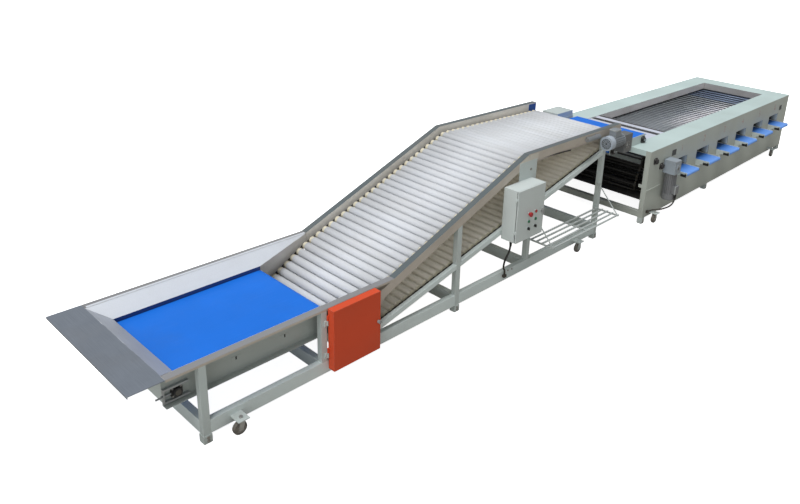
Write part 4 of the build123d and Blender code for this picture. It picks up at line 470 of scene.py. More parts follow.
def bare_metal(name, colour, roughness, stretch, swing=0.18, patches=0.2, low_dust=0.3, metallic=0.85,
               painted_shade=None, zones=None):
    """Brushed metal with streaks in its tone, its gloss and its surface, and some dust."""
    made, tree, shader = started(name, roughness, metallic)
    grain = placed_group(tree, grain_group, Stretch=stretch)
    dust = dust_mask(tree, patches, low_dust)
    tone = varied(tree, grain["Shade"], colour, swing)
    if zones:
        tone = zones(tree, tone)
    gloss = spread(tree, grain["Shade"], 0.0, 1.0, roughness + 0.08, roughness - 0.06)
    shine = spread(tree, dust, 0.0, 0.7, metallic, 0.1)
    finished(tree, shader, tone, dust, grain["Height"], 0.10, painted_shade=painted_shade, Roughness=gloss, Metallic=shine)
    return made


finishes["bare_steel"] = bare_metal("bare_steel", (0.42, 0.44, 0.46), 0.38, ALONG_Y)
finishes["zinc_fork"] = bare_metal("zinc_fork", (0.52, 0.52, 0.50), 0.42, (90.0, 90.0, 90.0))
oiled_steel = bare_metal("oiled_steel", (0.12, 0.115, 0.105), 0.34, (120.0, 120.0, 120.0), patches=0.45)
shelf_steel = painted("shelf_paint", (0.46, 0.50, 0.49), 0.35, patches=0.2, low_dust=0.0)
print("bare metals ready")

# %% [markdown]
# The hopper's sheets are one bare steel, shown in three tones that are painted reflection: bright on the
# linings, darker on faces turned along +X such as the apron's slope, and darkest on the apron's flat strip.
# The flat strip is picked by its place along the machine, with a noisy border instead of a hard line, and
# the slope by the way that it faces.

# %% Hopper sheet
hopper_low, hopper_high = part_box("hopper_plates")
APRON_FLAT = 0.228
REFLECTION_BORDER_WOBBLE = 0.012
SOFT_EDGE = 0.002
SHEET_REFLECTION_TONES = [((0.75, 0.78, 0.83), 0.05), ((0.42, 0.445, 0.49), 0.08), ((0.20, 0.225, 0.265), 0.14)]
hopper_sheet, tree, shader = started("hopper_sheet", 0.34, 0.25)
grain = placed_group(tree, grain_group, Stretch=(260.0, 5.0, 260.0))
place = own_place(tree)
# Painted reflection: the apron's flat strip takes the darkest tone and faces turned along +X a darker one.
border_noise = times(tree, noise(tree, place, 9.0, 6.0), REFLECTION_BORDER_WOBBLE)
reflection_border = maths(tree, "ADD", split(tree, place)["X"], border_noise)
edge_x = hopper_low.x + APRON_FLAT + REFLECTION_BORDER_WOBBLE / 2
apron_reflection_share = spread(tree, reflection_border, edge_x - SOFT_EDGE, edge_x + SOFT_EDGE, 1.0, 0.0)
bright, slope, dark = [varied(tree, grain["Shade"], colour, swing) for colour, swing in SHEET_REFLECTION_TONES]
bright = blend_colour(tree, spread(tree, face_way(tree)["X"], 0.2, 0.3), bright, slope)
sheet_tone_with_painted_light = blend_colour(tree, apron_reflection_share, bright, dark)
finished(tree, shader, sheet_tone_with_painted_light, dust_mask(tree, 0.18), grain["Height"],
         Roughness=spread(tree, grain["Shade"], 0.0, 1.0, 0.46, 0.34))
print("hopper sheet from", round(hopper_low.x, 3), "to", round(hopper_high.x, 3))

# %% [markdown]
# The elevator's rails are folded plate. Their top flange is slate grey and the web below keeps a beige primer.
# Along the hopper the flange is painted silver, a painted reflection, and the inward faces of the inner plates
# are painted paler, painted light for the light they lack. The normal's upward part tells flange from web, and
# the place in the machine tells the hopper's rim and the inner plates' paler faces from the rest.

# %% Rail paint
INNER_PLATE = 0.55
RIM_EDGE = 0.004
WEB_TONES_INNER_LIT = [((0.48, 0.43, 0.37), (0.86, 0.82, 0.76)), ((0.57, 0.51, 0.44), (0.94, 0.91, 0.86))]
FLANGE_TONES_RIM_REFLECTION = [((0.098, 0.118, 0.126), (0.23, 0.23, 0.24)), ((0.118, 0.143, 0.152), (0.28, 0.28, 0.29))]
rail_finish, tree, shader = started("rail_paint", 0.42)
coat = placed_group(tree, skin_group, Skin_size=380.0)
way = face_way(tree)
spot = own_spot(tree)
flange_share = spread(tree, way["Z"], 0.5, 0.7)
off_middle = maths(tree, "SUBTRACT", spot["Y"], CENTRE_Y)
turned_in = maths(tree, "LESS_THAN", times(tree, off_middle, way["Y"]), 0.0)
near_strand = maths(tree, "LESS_THAN", maths(tree, "ABSOLUTE", off_middle), INNER_PLATE)
# Painted light: inward faces of the inner plates take the paler web tone.
inner_lit_share = times(tree, turned_in, near_strand)
# Painted reflection: the flange along the hopper takes a silver tone.
rim_reflection_share = spread(tree, spot["X"], hopper_high.x - RIM_EDGE, hopper_high.x + RIM_EDGE, 1.0, 0.0)
webs = [blend_colour(tree, inner_lit_share, outer, inner) for outer, inner in WEB_TONES_INNER_LIT]
flanges = [blend_colour(tree, rim_reflection_share, plain, reflecting) for plain, reflecting in FLANGE_TONES_RIM_REFLECTION]
web_tone, flange_tone = [blend_colour(tree, coat["Tone"], *pair) for pair in (webs, flanges)]
rail_tone = blend_colour(tree, flange_share, web_tone, flange_tone)
rail_tone = blend_colour(tree, placed_group(tree, wear_group, Amount=0.6)["Mask"], rail_tone, BARE_EDGE)
finished(tree, shader, rail_tone, dust_mask(tree, 0.3), coat["Height"], relief=0.0005,
         Roughness=spread(tree, flange_share, 0.0, 1.0, 0.48, 0.32))
print("rail paint with flange and web")

# %% [markdown]
# The belts are blue food-grade covers with a satin face. Their cloth backing prints a very fine weave
# through the cover, so two crossed waves of thread size make the bump, and faint scuffs run with the belt.

# %% Belt covers
RUN_X = (3.0, 90.0, 90.0)
RUN_Y = (90.0, 3.0, 90.0)
THREADS = 160.0
BELT_DUST = (0.10, 0.11, 0.13)
NOSE_LIT_TONE = (0.17, 0.36, 0.84)
INSIDE_BELT_SHADE = (0.030, 0.045, 0.090)
NOSE_LIT_DEEP, SHADE_FROM, SHADE_TO = 0.16, 0.12, 0.32
nose = joint_spot["outlet_front_spin"]


def belt_cover(name, colour, stretch=RUN_X, zones=None):
    """Blue belt cover with a fine woven print; its scuffs are stretched along the belt's run."""
    made, tree, shader = started(name, 0.46, specular=0.16)
    coat = placed_group(tree, skin_group, Drift_size=2.2)
    scuff = placed_group(tree, grain_group, Stretch=stretch)["Shade"]
    tone = varied(tree, coat["Tone"], colour, 0.05)
    pale = tuple(min(part * 1.25 + 0.02, 1) for part in colour)
    tone = blend_colour(tree, spread(tree, scuff, 0.72, 1.0, 0.0, 0.25), tone, pale)
    if zones:
        tone = zones(tree, tone)
    waves = {"Vector": own_place(tree), "Scale": THREADS}
    across, along = [add(tree, "ShaderNodeTexWave", waves, bands_direction=axis) for axis in "XY"]
    weave = times(tree, across.outputs["Fac"], along.outputs["Fac"])
    finished(tree, shader, tone, dust_mask(tree, 0.10), weave, 0.12, 0.0003, BELT_DUST,
             Roughness=spread(tree, scuff, 0.0, 1.0, 0.52, 0.40))
    return made


def outlet_light_zones(tree, tone):
    """Painted light and shade: outlet belts are paler towards their nose and darker inside the grader."""
    across = own_spot(tree)["Y"]
    nose_lit = spread(tree, across, nose.y + NOSE_LIT_DEEP, nose.y, 0.0, 0.9)
    painted_shade = spread(tree, across, nose.y + SHADE_FROM, nose.y + SHADE_TO, 0.0, 0.92)
    return blend_colour(tree, painted_shade, blend_colour(tree, nose_lit, tone, NOSE_LIT_TONE), INSIDE_BELT_SHADE)


finishes["blue_belt"] = belt_cover("blue_belt", (0.013, 0.165, 0.70))
outlet_cover = belt_cover("outlet_belt_cover", (0.055, 0.20, 0.62), RUN_Y, outlet_light_zones)
print("belt covers ready")

# %% [markdown]
# Many pieces repeat along the machine. Their places are read from the CAD solids: the helper below merges
# a copy of a node, walks over connected points and returns one box for each separate solid.

# %% Solids of a node
MERGE_REACH = 1e-5


def islands(node):
    """Low and high corner of each separate solid of a CAD node, in order along X, then Z and Y."""
    work = bmesh.new()
    work.from_mesh(nodes[node].data)
    bmesh.ops.remove_doubles(work, verts=work.verts[:], dist=MERGE_REACH)
    left = set(work.verts)
    boxes = []
    while left:
        reach = [left.pop()]
        found = []
        while reach:
            vert = reach.pop()
            found.append(vert.co.copy())
            for edge in vert.link_edges:
                other = edge.other_vert(vert)
                if other in left:
                    left.remove(other)
                    reach.append(other)
        low, high = (Vector([pick(spot[k] for spot in found) for k in range(3)]) for pick in (min, max))
        boxes.append((low, high))
    work.free()
    return sorted(boxes, key=lambda box: [round(box[0][k], 4) for k in (0, 2, 1)])


def middle(box):
    """Centre of a box."""
    return (box[0] + box[1]) / 2


rollers = islands("elevator_rollers")
rods = islands("grading_rods")
outlet_boxes = islands("outlet_belts")
print(len(rollers), "rollers,", len(rods), "rods and", len(outlet_boxes), "outlets")

# %% [markdown]
# Geometry Nodes make what repeats. A tree takes a cloud of points and named sizes, and ends in realised
# geometry with its material. The helper sets the sizes by socket identifier, runs the tree once and keeps
# the result as a plain mesh.

# %% Geometry tree helpers
UNTURNED = (0.0, 0.0, 0.0)
LAID_ACROSS = (math.pi / 2, 0, 0)
LAID_ALONG = (0, math.pi / 2, 0)


def geometry_tree(name, sizes):
    """An empty geometry tree with named sizes; gives the tree, its inputs and its output node."""
    tree = bpy.data.node_groups.new(name, "GeometryNodeTree")
    tree.interface.new_socket("Geometry", in_out="INPUT", socket_type="NodeSocketGeometry")
    for label, value in sizes.items():
        kind = "NodeSocketInt" if isinstance(value, int) else "NodeSocketFloat"
        tree.interface.new_socket(label, in_out="INPUT", socket_type=kind).default_value = value
    tree.interface.new_socket("Geometry", in_out="OUTPUT", socket_type="NodeSocketGeometry")
    return tree, tree.nodes.new("NodeGroupInput").outputs, tree.nodes.new("NodeGroupOutput")


def coloured(tree, shape, material):
    """A geometry with a material set on it."""
    return add(tree, "GeometryNodeSetMaterial", {"Geometry": shape, "Material": material}).outputs["Geometry"]


def joined(tree, shapes):
    """Several geometries as one."""
    made = add(tree, "GeometryNodeJoinGeometry")
    for shape in shapes:
        tree.links.new(shape, made.inputs["Geometry"])
    return made.outputs["Geometry"]


def vector(tree, **parts):
    """A vector from its named parts."""
    return add(tree, "ShaderNodeCombineXYZ", parts).outputs["Vector"]


def moved(tree, shape, spot=UNTURNED, turn=UNTURNED):
    """A geometry moved and turned; spot may be a socket."""
    inputs = {"Geometry": shape, "Translation": spot, "Rotation": turn}
    return add(tree, "GeometryNodeTransform", inputs).outputs["Geometry"]


def bar(tree, sides, radius, length):
    """A round bar along Z, smooth round its side."""
    made = add(tree, "GeometryNodeMeshCylinder", {"Vertices": sides, "Radius": radius, "Depth": length})
    names = {"Geometry": made.outputs["Mesh"], "Selection": made.outputs["Side"], "Shade Smooth": True}
    return add(tree, "GeometryNodeSetShadeSmooth", names).outputs["Geometry"]


def named(tree, label, kind="FLOAT"):
    """A value that the points carry."""
    return add(tree, "GeometryNodeInputNamedAttribute", {"Name": label}, data_type=kind).outputs[0]


def facing_turn(tree):
    """The turn that points a shape's Z along the points' own direction."""
    inputs = {"Vector": named(tree, "facing", "FLOAT_VECTOR")}
    return add(tree, "FunctionNodeAlignRotationToVector", inputs, axis="Z").outputs["Rotation"]


def dots(tree, given):
    """The given cloud as points."""
    return add(tree, "GeometryNodeMeshToPoints", {"Mesh": given["Geometry"]}).outputs["Points"]


def counted(tree, count):
    """A number of points and the index of each."""
    points = add(tree, "GeometryNodePoints", {"Count": count}).outputs["Points"]
    return points, add(tree, "GeometryNodeInputIndex").outputs["Index"]


def on_points(tree, points, shape, **inputs):
    """A shape set on every point."""
    inputs.update({"Points": points, "Instance": shape})
    return add(tree, "GeometryNodeInstanceOnPoints", inputs).outputs["Instances"]


def real(tree, instances):
    """Instances turned into real geometry."""
    return add(tree, "GeometryNodeRealizeInstances", {"Geometry": instances}).outputs["Geometry"]


def ended(tree, out, instances, material=None):
    """Ends a tree in realised geometry; its parts may have their materials already."""
    shape = real(tree, instances)
    feed(tree, out, Geometry=coloured(tree, shape, material) if material else shape)


def grown(name, spots, tree, sizes=None, fields=None, replaces=None):
    """Runs a tree on points and keeps the result as a plain mesh that rides on the machine."""
    cloud = bpy.data.meshes.new(name)
    cloud.from_pydata([tuple(spot) for spot in spots], [], [])
    for label, values in (fields or {}).items():
        if isinstance(values[0], (float, int)):
            cloud.attributes.new(label, "FLOAT", "POINT").data.foreach_set("value", values)
        else:
            flat = [part for value in values for part in value]
            cloud.attributes.new(label, "FLOAT_VECTOR", "POINT").data.foreach_set("vector", flat)
    obj = placed(name, cloud)
    grow = obj.modifiers.new("grow", "NODES")
    grow.node_group = tree
    for item in tree.interface.items_tree:
        if item.in_out == "INPUT" and item.name in (sizes or {}):
            grow[item.identifier] = sizes[item.name]
    made = evaluated_mesh(obj)
    obj.modifiers.clear()
    obj.data = made
    made.name = name
    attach(obj, "machine")
    if replaces:
        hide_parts(replaces)
    print(name, len(spots), "places,", sum(len(face.vertices) - 2 for face in made.polygons), "triangles")


# %% [markdown]
# The elevator carries the crop on plain rollers: a pale plastic sleeve with a tan end ring at each side, the
# near one mostly under the rail. The sleeve is smooth, so it has more sides than the solid. Each roller takes
# its own slight tone from a seeded random value on its points, and a second value marks the rollers that
# run back underneath, which take a lighter, warmer tone: painted light for the light they lack down there.

# %% Roller sleeve finish
SLEEVE_TONES = ((0.61, 0.625, 0.65), (0.66, 0.68, 0.715))
RETURN_LIT_TONE = (0.94, 0.885, 0.76)
DRIFT_TONE = (0.55, 0.53, 0.49)
SLEEVE_DUST = (0.36, 0.31, 0.24)
sleeve, tree, shader = started("roller_sleeve", 0.6, specular=0.25)
coat = placed_group(tree, skin_group, Skin_size=320.0, Drift_size=7.0)
own_share, returning_lit = [add(tree, "ShaderNodeAttribute", attribute_name=label).outputs["Fac"]
                        for label in ("roller_tone", "return_run_lit")]
tone = blend_colour(tree, own_share, *SLEEVE_TONES)
# Painted light: rollers on the return run take a lighter, warmer tone.
tone = blend_colour(tree, returning_lit, tone, RETURN_LIT_TONE)
tone = blend_colour(tree, spread(tree, coat["Tone"], 0.0, 1.0, 0.0, 0.08), tone, DRIFT_TONE)
finished(tree, shader, tone, dust_mask(tree, 0.12, 0.25), coat["Height"], 0.06, earth=SLEEVE_DUST,
         Roughness=spread(tree, coat["Tone"], 0.0, 1.0, 0.58, 0.72))
end_ring = painted("roller_end_ring", (0.88, 0.82, 0.64), 0.5, 0.10, 0.10, 0.0, 0, skin=500.0)
print("roller sleeve and end ring")

# %% Roller tree
SLEEVE_RADIUS = 0.0362
TONE_SEED = 7
ABOVE_X = 0.045
ABOVE_Z = 0.05
tree, given, out = geometry_tree(
    "elevator_roller", {"Radius": 0.033, "Half length": 0.5, "Ring": 0.034, "Near ring": 0.010,
                        "Ring radius": 0.0315, "Sides": 28})
both_rings = maths(tree, "ADD", given["Ring"], given["Near ring"])
whole_long = times(tree, given["Half length"], 2.0)
off_centre = times(tree, maths(tree, "SUBTRACT", given["Ring"], given["Near ring"]), 0.5)
sleeve_bar = bar(tree, given["Sides"], given["Radius"], maths(tree, "SUBTRACT", whole_long, both_rings))
sleeve_bar = moved(tree, sleeve_bar, vector(tree, Z=off_centre))
ring_bar = bar(tree, given["Sides"], given["Ring radius"], whole_long)
parts = [coloured(tree, sleeve_bar, sleeve), coloured(tree, ring_bar, end_ring)]
lying = moved(tree, joined(tree, parts), turn=LAID_ACROSS)
random_tone = add(tree, "FunctionNodeRandomValue", {"Seed": TONE_SEED}, data_type="FLOAT").outputs[1]
stored = {"Geometry": dots(tree, given), "Name": "roller_tone", "Value": random_tone}
toned = add(tree, "GeometryNodeStoreNamedAttribute", stored, data_type="FLOAT").outputs["Geometry"]
ended(tree, out, on_points(tree, toned, lying))
roller_low, roller_high = rollers[0]
roller_half = (roller_high.y - roller_low.y) / 2
roller_spots = [middle(box) for box in rollers]
return_run_lit = []
for spot in roller_spots:
    above = [abs(other.x - spot.x) < ABOVE_X and other.z > spot.z + ABOVE_Z for other in roller_spots]
    return_run_lit.append(float(any(above)))
roller_sizes = {"Radius": SLEEVE_RADIUS, "Half length": roller_half}
grown("roller_sleeves", roller_spots, tree, roller_sizes, {"return_run_lit": return_run_lit},
      "elevator_rollers")

# %% [markdown]
# Potatoes fall between the grading rods when the gap is wide enough. The rods are drawn steel bar. Their
# tone holds painted light: a pale sheen along the near wall, a blue reflection of the last outlet's belt,
# and painted shade, nearly black, on the rods that run back underneath. One smooth bar is set on every
# rod's place, with its pitch as the solids give it.

# %% Grading rods
ROD_SHEEN_TONE = (0.90, 0.87, 0.90)
ROD_BLUE_REFLECTION = (0.16, 0.235, 0.40)
SHEEN_X = (2.20, 2.80, 3.90, 4.25)
SHEEN_Y = (0.06, -0.26)
BLUE_REFLECTION_X = (4.18, 4.30)
ROD_SHADE_DEPTH = 0.04
rod_line_z = joint_spot["grader_drive"].z


def rods_below_shade(tree):
    """Share of painted shade on rods that run back below the drive shaft's height."""
    return spread(tree, own_spot(tree)["Z"], rod_line_z, rod_line_z - ROD_SHADE_DEPTH)


def rod_sheen_zones(tree, tone):
    """Painted highlight and reflection: paler rods along the near wall, a blue cast from the last belt."""
    spot = own_spot(tree)
    starts = spread(tree, spot["X"], *SHEEN_X[:2])
    ends = spread(tree, spot["X"], *SHEEN_X[2:], 1.0, 0.0)
    near = spread(tree, spot["Y"], *SHEEN_Y, 0.0, 0.85)
    tone = blend_colour(tree, times(tree, near, times(tree, starts, ends)), tone, ROD_SHEEN_TONE)
    return blend_colour(tree, spread(tree, spot["X"], *BLUE_REFLECTION_X, 0.0, 0.6), tone, ROD_BLUE_REFLECTION)


rod_steel = bare_metal("rod_steel", (0.315, 0.338, 0.362), 0.60, ALONG_Y, 0.12, 0.12, 0.0, 0.30, rods_below_shade,
                       rod_sheen_zones)
tree, given, out = geometry_tree("grading_rod", {"Radius": 0.012, "Length": 1.04, "Sides": 16})
rod_bar = moved(tree, bar(tree, given["Sides"], given["Radius"], given["Length"]), turn=LAID_ACROSS)
ended(tree, out, on_points(tree, dots(tree, given), rod_bar), rod_steel)
rod_low, rod_high = rods[0]
rod_long = rod_high.y - rod_low.y
grown("grading_bars", [middle(box) for box in rods], tree,
      {"Radius": (rod_high.z - rod_low.z) / 2, "Length": rod_long}, replaces="grading_rods")

# %% [markdown]
# Five roller chains pull the machine: two carry the rollers, two carry the rods and one drives the hopper
# belt. A chain is a row of pins one pitch apart with outer and inner link plates in turn. The pins of the
# roller chains lie on the rollers' own path; the others run taut round their wheels.

# %% Chain lines
PITCH = 0.0381
DRIVE_WHEEL = 0.060
DRIVE_TEETH = 15
DRIVE_PITCH = 2 * DRIVE_WHEEL * math.sin(math.pi / DRIVE_TEETH)
ROD_WHEEL = 0.122
RETURN_GUIDE = 0.070
RETURN_FRONT = 0.165
RETURN_BACK = 0.040
RETURN_UNDER = 0.145
WHEEL_ARC_STEPS = 48


def walked(spots):
    """Points of a closed loop in running order, each followed by its nearest neighbour."""
    left = list(spots)
    line = [left.pop(0)]
    while left:
        nearest = min(range(len(left)), key=lambda k: (left[k] - line[-1]).length)
        line.append(left.pop(nearest))
    return line


def with_midpoints(line):
    """A closed loop with a smooth in-between point after each point."""
    count = len(line)
    full = []
    for k, spot in enumerate(line):
        before, after, beyond = line[k - 1], line[(k + 1) % count], line[(k + 2) % count]
        full += [spot, (9 * (spot + after) - before - beyond) / 16]
    return full


def taut_line(wheels, pitch):
    """Points one pitch apart on the line round wheels (x, z, r), given anticlockwise."""
    runs = []
    for (x, z, r), (next_x, next_z, next_r) in zip(wheels, wheels[1:] + wheels[:1]):
        way = Vector((next_x - x, next_z - z))
        lean = math.asin((r - next_r) / way.length)
        runs.append(math.atan2(way.y, way.x) - math.pi / 2 + lean)
    dense = []
    for k, (x, z, r) in enumerate(wheels):
        first, last = runs[k - 1], runs[k]
        while last < first:
            last += 2 * math.pi
        turns = [first + (last - first) * step / WHEEL_ARC_STEPS for step in range(WHEEL_ARC_STEPS + 1)]
        dense += [Vector((x + r * math.cos(turn), z + r * math.sin(turn))) for turn in turns]
    dense.append(dense[0])
    lengths = [(b - a).length for a, b in zip(dense, dense[1:])]
    count = 2 * round(sum(lengths) / pitch / 2)
    step = sum(lengths) / count
    line = []
    gone = 0.0
    for start, end, length in zip(dense, dense[1:], lengths):
        while length and len(line) < count and len(line) * step <= gone + length:
            line.append(start.lerp(end, (len(line) * step - gone) / length))
        gone += length
    return line


strand = [Vector((spot.x, spot.z)) for spot in with_midpoints(walked(roller_spots))]
drive, tail = joint_spot["grader_drive"], joint_spot["grader_tail_spin"]
return_z = nose.z - RETURN_UNDER
rod_wheels = [(drive.x, drive.z, ROD_WHEEL), (drive.x - RETURN_FRONT, return_z, RETURN_GUIDE),
              (tail.x + RETURN_BACK, return_z, RETURN_GUIDE), (tail.x, tail.z, ROD_WHEEL)]
rod_line = taut_line(rod_wheels, PITCH)
drive_wheels = [joint_spot["elevator_tail_spin"], joint_spot["hopper_head_spin"]]
drive_line = taut_line([(spot.x, spot.z, DRIVE_WHEEL) for spot in drive_wheels], DRIVE_PITCH)
print("chain pins", len(strand), len(rod_line), len(drive_line))

# %% [markdown]
# One link tree serves all chains. Its plate is the hull of two discs, which gives the rounded ends, and a
# pin crosses it. Points carry the run's direction, and every second link is an inner one, narrower by its
# plates' thickness.

# %% Chain links
SIDES = (-1, 1)
LINK_HALF = 0.009
PIN_SHARE = 0.6
PIN_REACH = 1.96
OUTER_INSET, INNER_INSET = 0.5, 1.55
CHAIN_HALF, CHAIN_PLATE = 0.010, 0.004
DRIVE_HALF, DRIVE_PLATE = 0.0068, 0.0018
DRIVE_OFF = 0.628


def link_tree(name, pitch, gauge, plate):
    """Tree that sets chain links on points; gauge is the chain's half width over its outer plates."""
    tree, given, out = geometry_tree(
        name, {"Pitch": pitch, "Half height": LINK_HALF, "Half width": gauge, "Plate": plate, "Sides": 8})
    half = times(tree, given["Pitch"], 0.5)
    back = times(tree, half, -1.0)
    disc = bar(tree, given["Sides"], given["Half height"], given["Plate"])
    ends = joined(tree, [moved(tree, disc, vector(tree, X=way)) for way in (half, back)])
    flat = add(tree, "GeometryNodeConvexHull", {"Geometry": ends}).outputs["Convex Hull"]
    pin_radius = times(tree, given["Half height"], PIN_SHARE)
    pin = bar(tree, given["Sides"], pin_radius, times(tree, given["Half width"], PIN_REACH))
    pin = moved(tree, pin, vector(tree, X=back))
    axes = {"Primary Axis": named(tree, "along", "FLOAT_VECTOR"), "Secondary Axis": (0.0, 1.0, 0.0)}
    facing = add(tree, "FunctionNodeAxesToRotation", axes, primary_axis="X", secondary_axis="Y")
    kind = named(tree, "inner")
    points = dots(tree, given)
    rows = []
    for inset, test in ((OUTER_INSET, "LESS_THAN"), (INNER_INSET, "GREATER_THAN")):
        off = maths(tree, "SUBTRACT", given["Half width"], times(tree, given["Plate"], inset))
        plates = [moved(tree, flat, vector(tree, Z=way)) for way in (off, times(tree, off, -1.0))]
        link = moved(tree, joined(tree, plates + [pin]), turn=LAID_ACROSS)
        chosen = add(tree, "FunctionNodeCompare", {0: kind, 1: 0.5}, data_type="FLOAT", operation=test)
        rows.append(on_points(tree, points, link, Selection=chosen.outputs["Result"],
                              Rotation=facing.outputs["Rotation"]))
    ended(tree, out, joined(tree, rows), oiled_steel)
    return tree


def chain(name, line, levels, pitch, gauge, plate):
    """Chains on the same line in X and Z at several Y levels, as one piece."""
    spots, ways, inner = [], [], []
    for y in levels:
        for k, spot in enumerate(line):
            after = line[(k + 1) % len(line)]
            between = (spot + after) / 2
            way = (after - spot).normalized()
            spots.append((between.x, y, between.y))
            ways.append((way.x, 0.0, way.y))
            inner.append(float(k % 2))
    tree = link_tree(name + "_links", pitch, gauge, plate)
    grown(name, spots, tree, {"Pitch": pitch}, {"along": ways, "inner": inner}, "drive_chains")


roller_levels = [middle(rollers[0]).y + side * (roller_half + CHAIN_HALF) for side in SIDES]
rod_levels = [middle(rods[0]).y + side * (rod_long / 2 + CHAIN_HALF) for side in SIDES]
chain("elevator_chains", strand, roller_levels, PITCH, CHAIN_HALF, CHAIN_PLATE)
chain("rod_chains", rod_line, rod_levels, PITCH, CHAIN_HALF, CHAIN_PLATE)
chain("hopper_drive_chain", drive_line, [CENTRE_Y - DRIVE_OFF], DRIVE_PITCH, DRIVE_HALF, DRIVE_PLATE)

# %% [markdown]
# Hexagon bolts hold bearings, shoes, brackets and gearboxes. One tree makes a washer and a hexagon head
# with its chamfer, and sets it on points that carry the face's direction and the bolt's size.

# %% Bolt tree
bolt_steel = bare_metal("bolt_steel", (0.40, 0.39, 0.37), 0.36, (140.0, 140.0, 140.0))
bolt_tree, given, out = geometry_tree(
    "hex_bolt", {"Head radius": 0.0095, "Head height": 0.0065, "Washer radius": 0.0115,
                 "Washer height": 0.002})
half_head = times(bolt_tree, given["Head height"], 0.5)
head_lift = maths(bolt_tree, "ADD", given["Washer height"], half_head)
washer = bar(bolt_tree, 16, given["Washer radius"], given["Washer height"])
head_names = {"Vertices": 6, "Radius": given["Head radius"], "Depth": given["Head height"]}
head = add(bolt_tree, "GeometryNodeMeshCylinder", head_names).outputs["Mesh"]
cap_names = {"Vertices": 12, "Radius Top": 0.0055, "Radius Bottom": 0.0078, "Depth": 0.0014}
cap = add(bolt_tree, "GeometryNodeMeshCone", cap_names).outputs["Mesh"]
stack = [(washer, times(bolt_tree, given["Washer height"], 0.5)), (head, head_lift),
         (cap, maths(bolt_tree, "ADD", head_lift, half_head))]
bolt = joined(bolt_tree, [moved(bolt_tree, shape, vector(bolt_tree, Z=lift)) for shape, lift in stack])
row = on_points(bolt_tree, dots(bolt_tree, given), bolt, Rotation=facing_turn(bolt_tree),
                Scale=named(bolt_tree, "size"))
ended(bolt_tree, out, row, bolt_steel)
print("bolt tree ready")

# %% [markdown]
# The bolts' places follow the solids they hold: four on each bearing flange, two on each leg shoe, one on
# the control box's bracket, a ring on each gearbox cover, two on each outlet's wall foot and two on the base
# beam beside the cable's clamp. Each bolt is a place, a direction and a size, so one list feeds the tree.

# %% Bolt places
NEAR, FAR, UP = Vector((0, -1, 0)), Vector((0, 1, 0)), Vector((0, 0, 1))
FLANGE_HALF, FLANGE_THICK = 0.027, 0.012
GRADER_SIDE = 0.7
PANEL_NEAR, PANEL_FAR = 0.004, 0.002
SHOE_TALL, SHOE_LIFTS = 0.05, (0.020, 0.044)
BRACKET_BOLT = (0.165, 0.085)
GEAR_RINGS = {"elevator_drive": 0.033, "grader_drive": 0.037}
GEAR_BOLTS = 6
FOOT_WIDE, FOOT_DEEP = 0.05, (0.05, 0.07)
CLAMP_X = -1.69
CLAMP_BOLTS = ((0.045, 0.152), (0.105, 0.146))
panel_low, panel_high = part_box("grader_panels")
gear_boxes = islands("worm_gearboxes")
bolts = []
for box in islands("flange_bearings"):
    mid = middle(box)
    between = panel_low.y + PANEL_NEAR < box[0].y and box[1].y < panel_high.y - PANEL_FAR
    inside = between and abs(mid.y - CENTRE_Y) > GRADER_SIDE
    outward = FAR if (mid.y > CENTRE_Y) != inside else NEAR
    face = (box[0].y if outward == FAR else box[1].y) + outward.y * FLANGE_THICK
    for run in (-FLANGE_HALF, FLANGE_HALF):
        for lift in (-FLANGE_HALF, FLANGE_HALF):
            bolts.append((Vector((mid.x + run, face, mid.z + lift)), outward, 0.58))
for box in islands("levelling_feet"):
    if box[1].z > SHOE_TALL:
        mid = middle(box)
        outward = FAR if mid.y > CENTRE_Y else NEAR
        face = box[1].y if outward == FAR else box[0].y
        bolts += [(Vector((mid.x, face, lift)), outward, 0.9) for lift in SHOE_LIFTS]
bracket_low, bracket_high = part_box("box_bracket")
bracket_spot = (bracket_low.x + BRACKET_BOLT[0], bracket_low.y, bracket_high.z - BRACKET_BOLT[1])
bolts.append((Vector(bracket_spot), NEAR, 1.1))
for joint, radius in GEAR_RINGS.items():
    spot = joint_spot[joint]
    gear = min(gear_boxes, key=lambda box: abs(middle(box).x - spot.x))
    for k in range(GEAR_BOLTS):
        angle = 2 * math.pi * k / GEAR_BOLTS
        around = Vector((spot.x + radius * math.cos(angle), gear[0].y, spot.z + radius * math.sin(angle)))
        bolts.append((around, NEAR, 0.5))
for box in islands("outlet_frames"):
    wide_x, deep_y = box[1].x - box[0].x, box[1].y - box[0].y
    if wide_x < FOOT_WIDE and FOOT_DEEP[0] < deep_y < FOOT_DEEP[1]:
        for share in (0.35, 0.75):
            bolts.append((Vector((middle(box).x, box[0].y + share * deep_y, box[1].z)), UP, 0.6))
clamp = min(islands("cable_fittings"), key=lambda box: box[0].z + 10 * abs(box[0].x - CLAMP_X))
for run, lift in CLAMP_BOLTS:
    bolts.append((Vector((clamp[1].x + run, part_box("frame_beams")[0].y, lift)), NEAR, 0.8))
spots, ways, scales = zip(*bolts)
bolt_fields = {"facing": [tuple(way) for way in ways], "size": scales}
grown("hex_bolts", spots, bolt_tree, fields=bolt_fields)

# %% [markdown]
# The casters' wheels have a rubber tyre with rounded shoulders on a pale hub. A wheel is a turned shape, so
# its profile is spun round the axle, one wheel for each body, in the space of the solid that it replaces.

# %% Caster wheels
WHEEL_STEPS = 36
TYRE_HALF = 0.016
AXLE_BORE = 0.0061
TYRE_FACES = range(5, 12)
hub_plastic = painted("wheel_hub", (0.30, 0.29, 0.27), 0.45, patches=0.4, low_dust=0.5, wear=0)


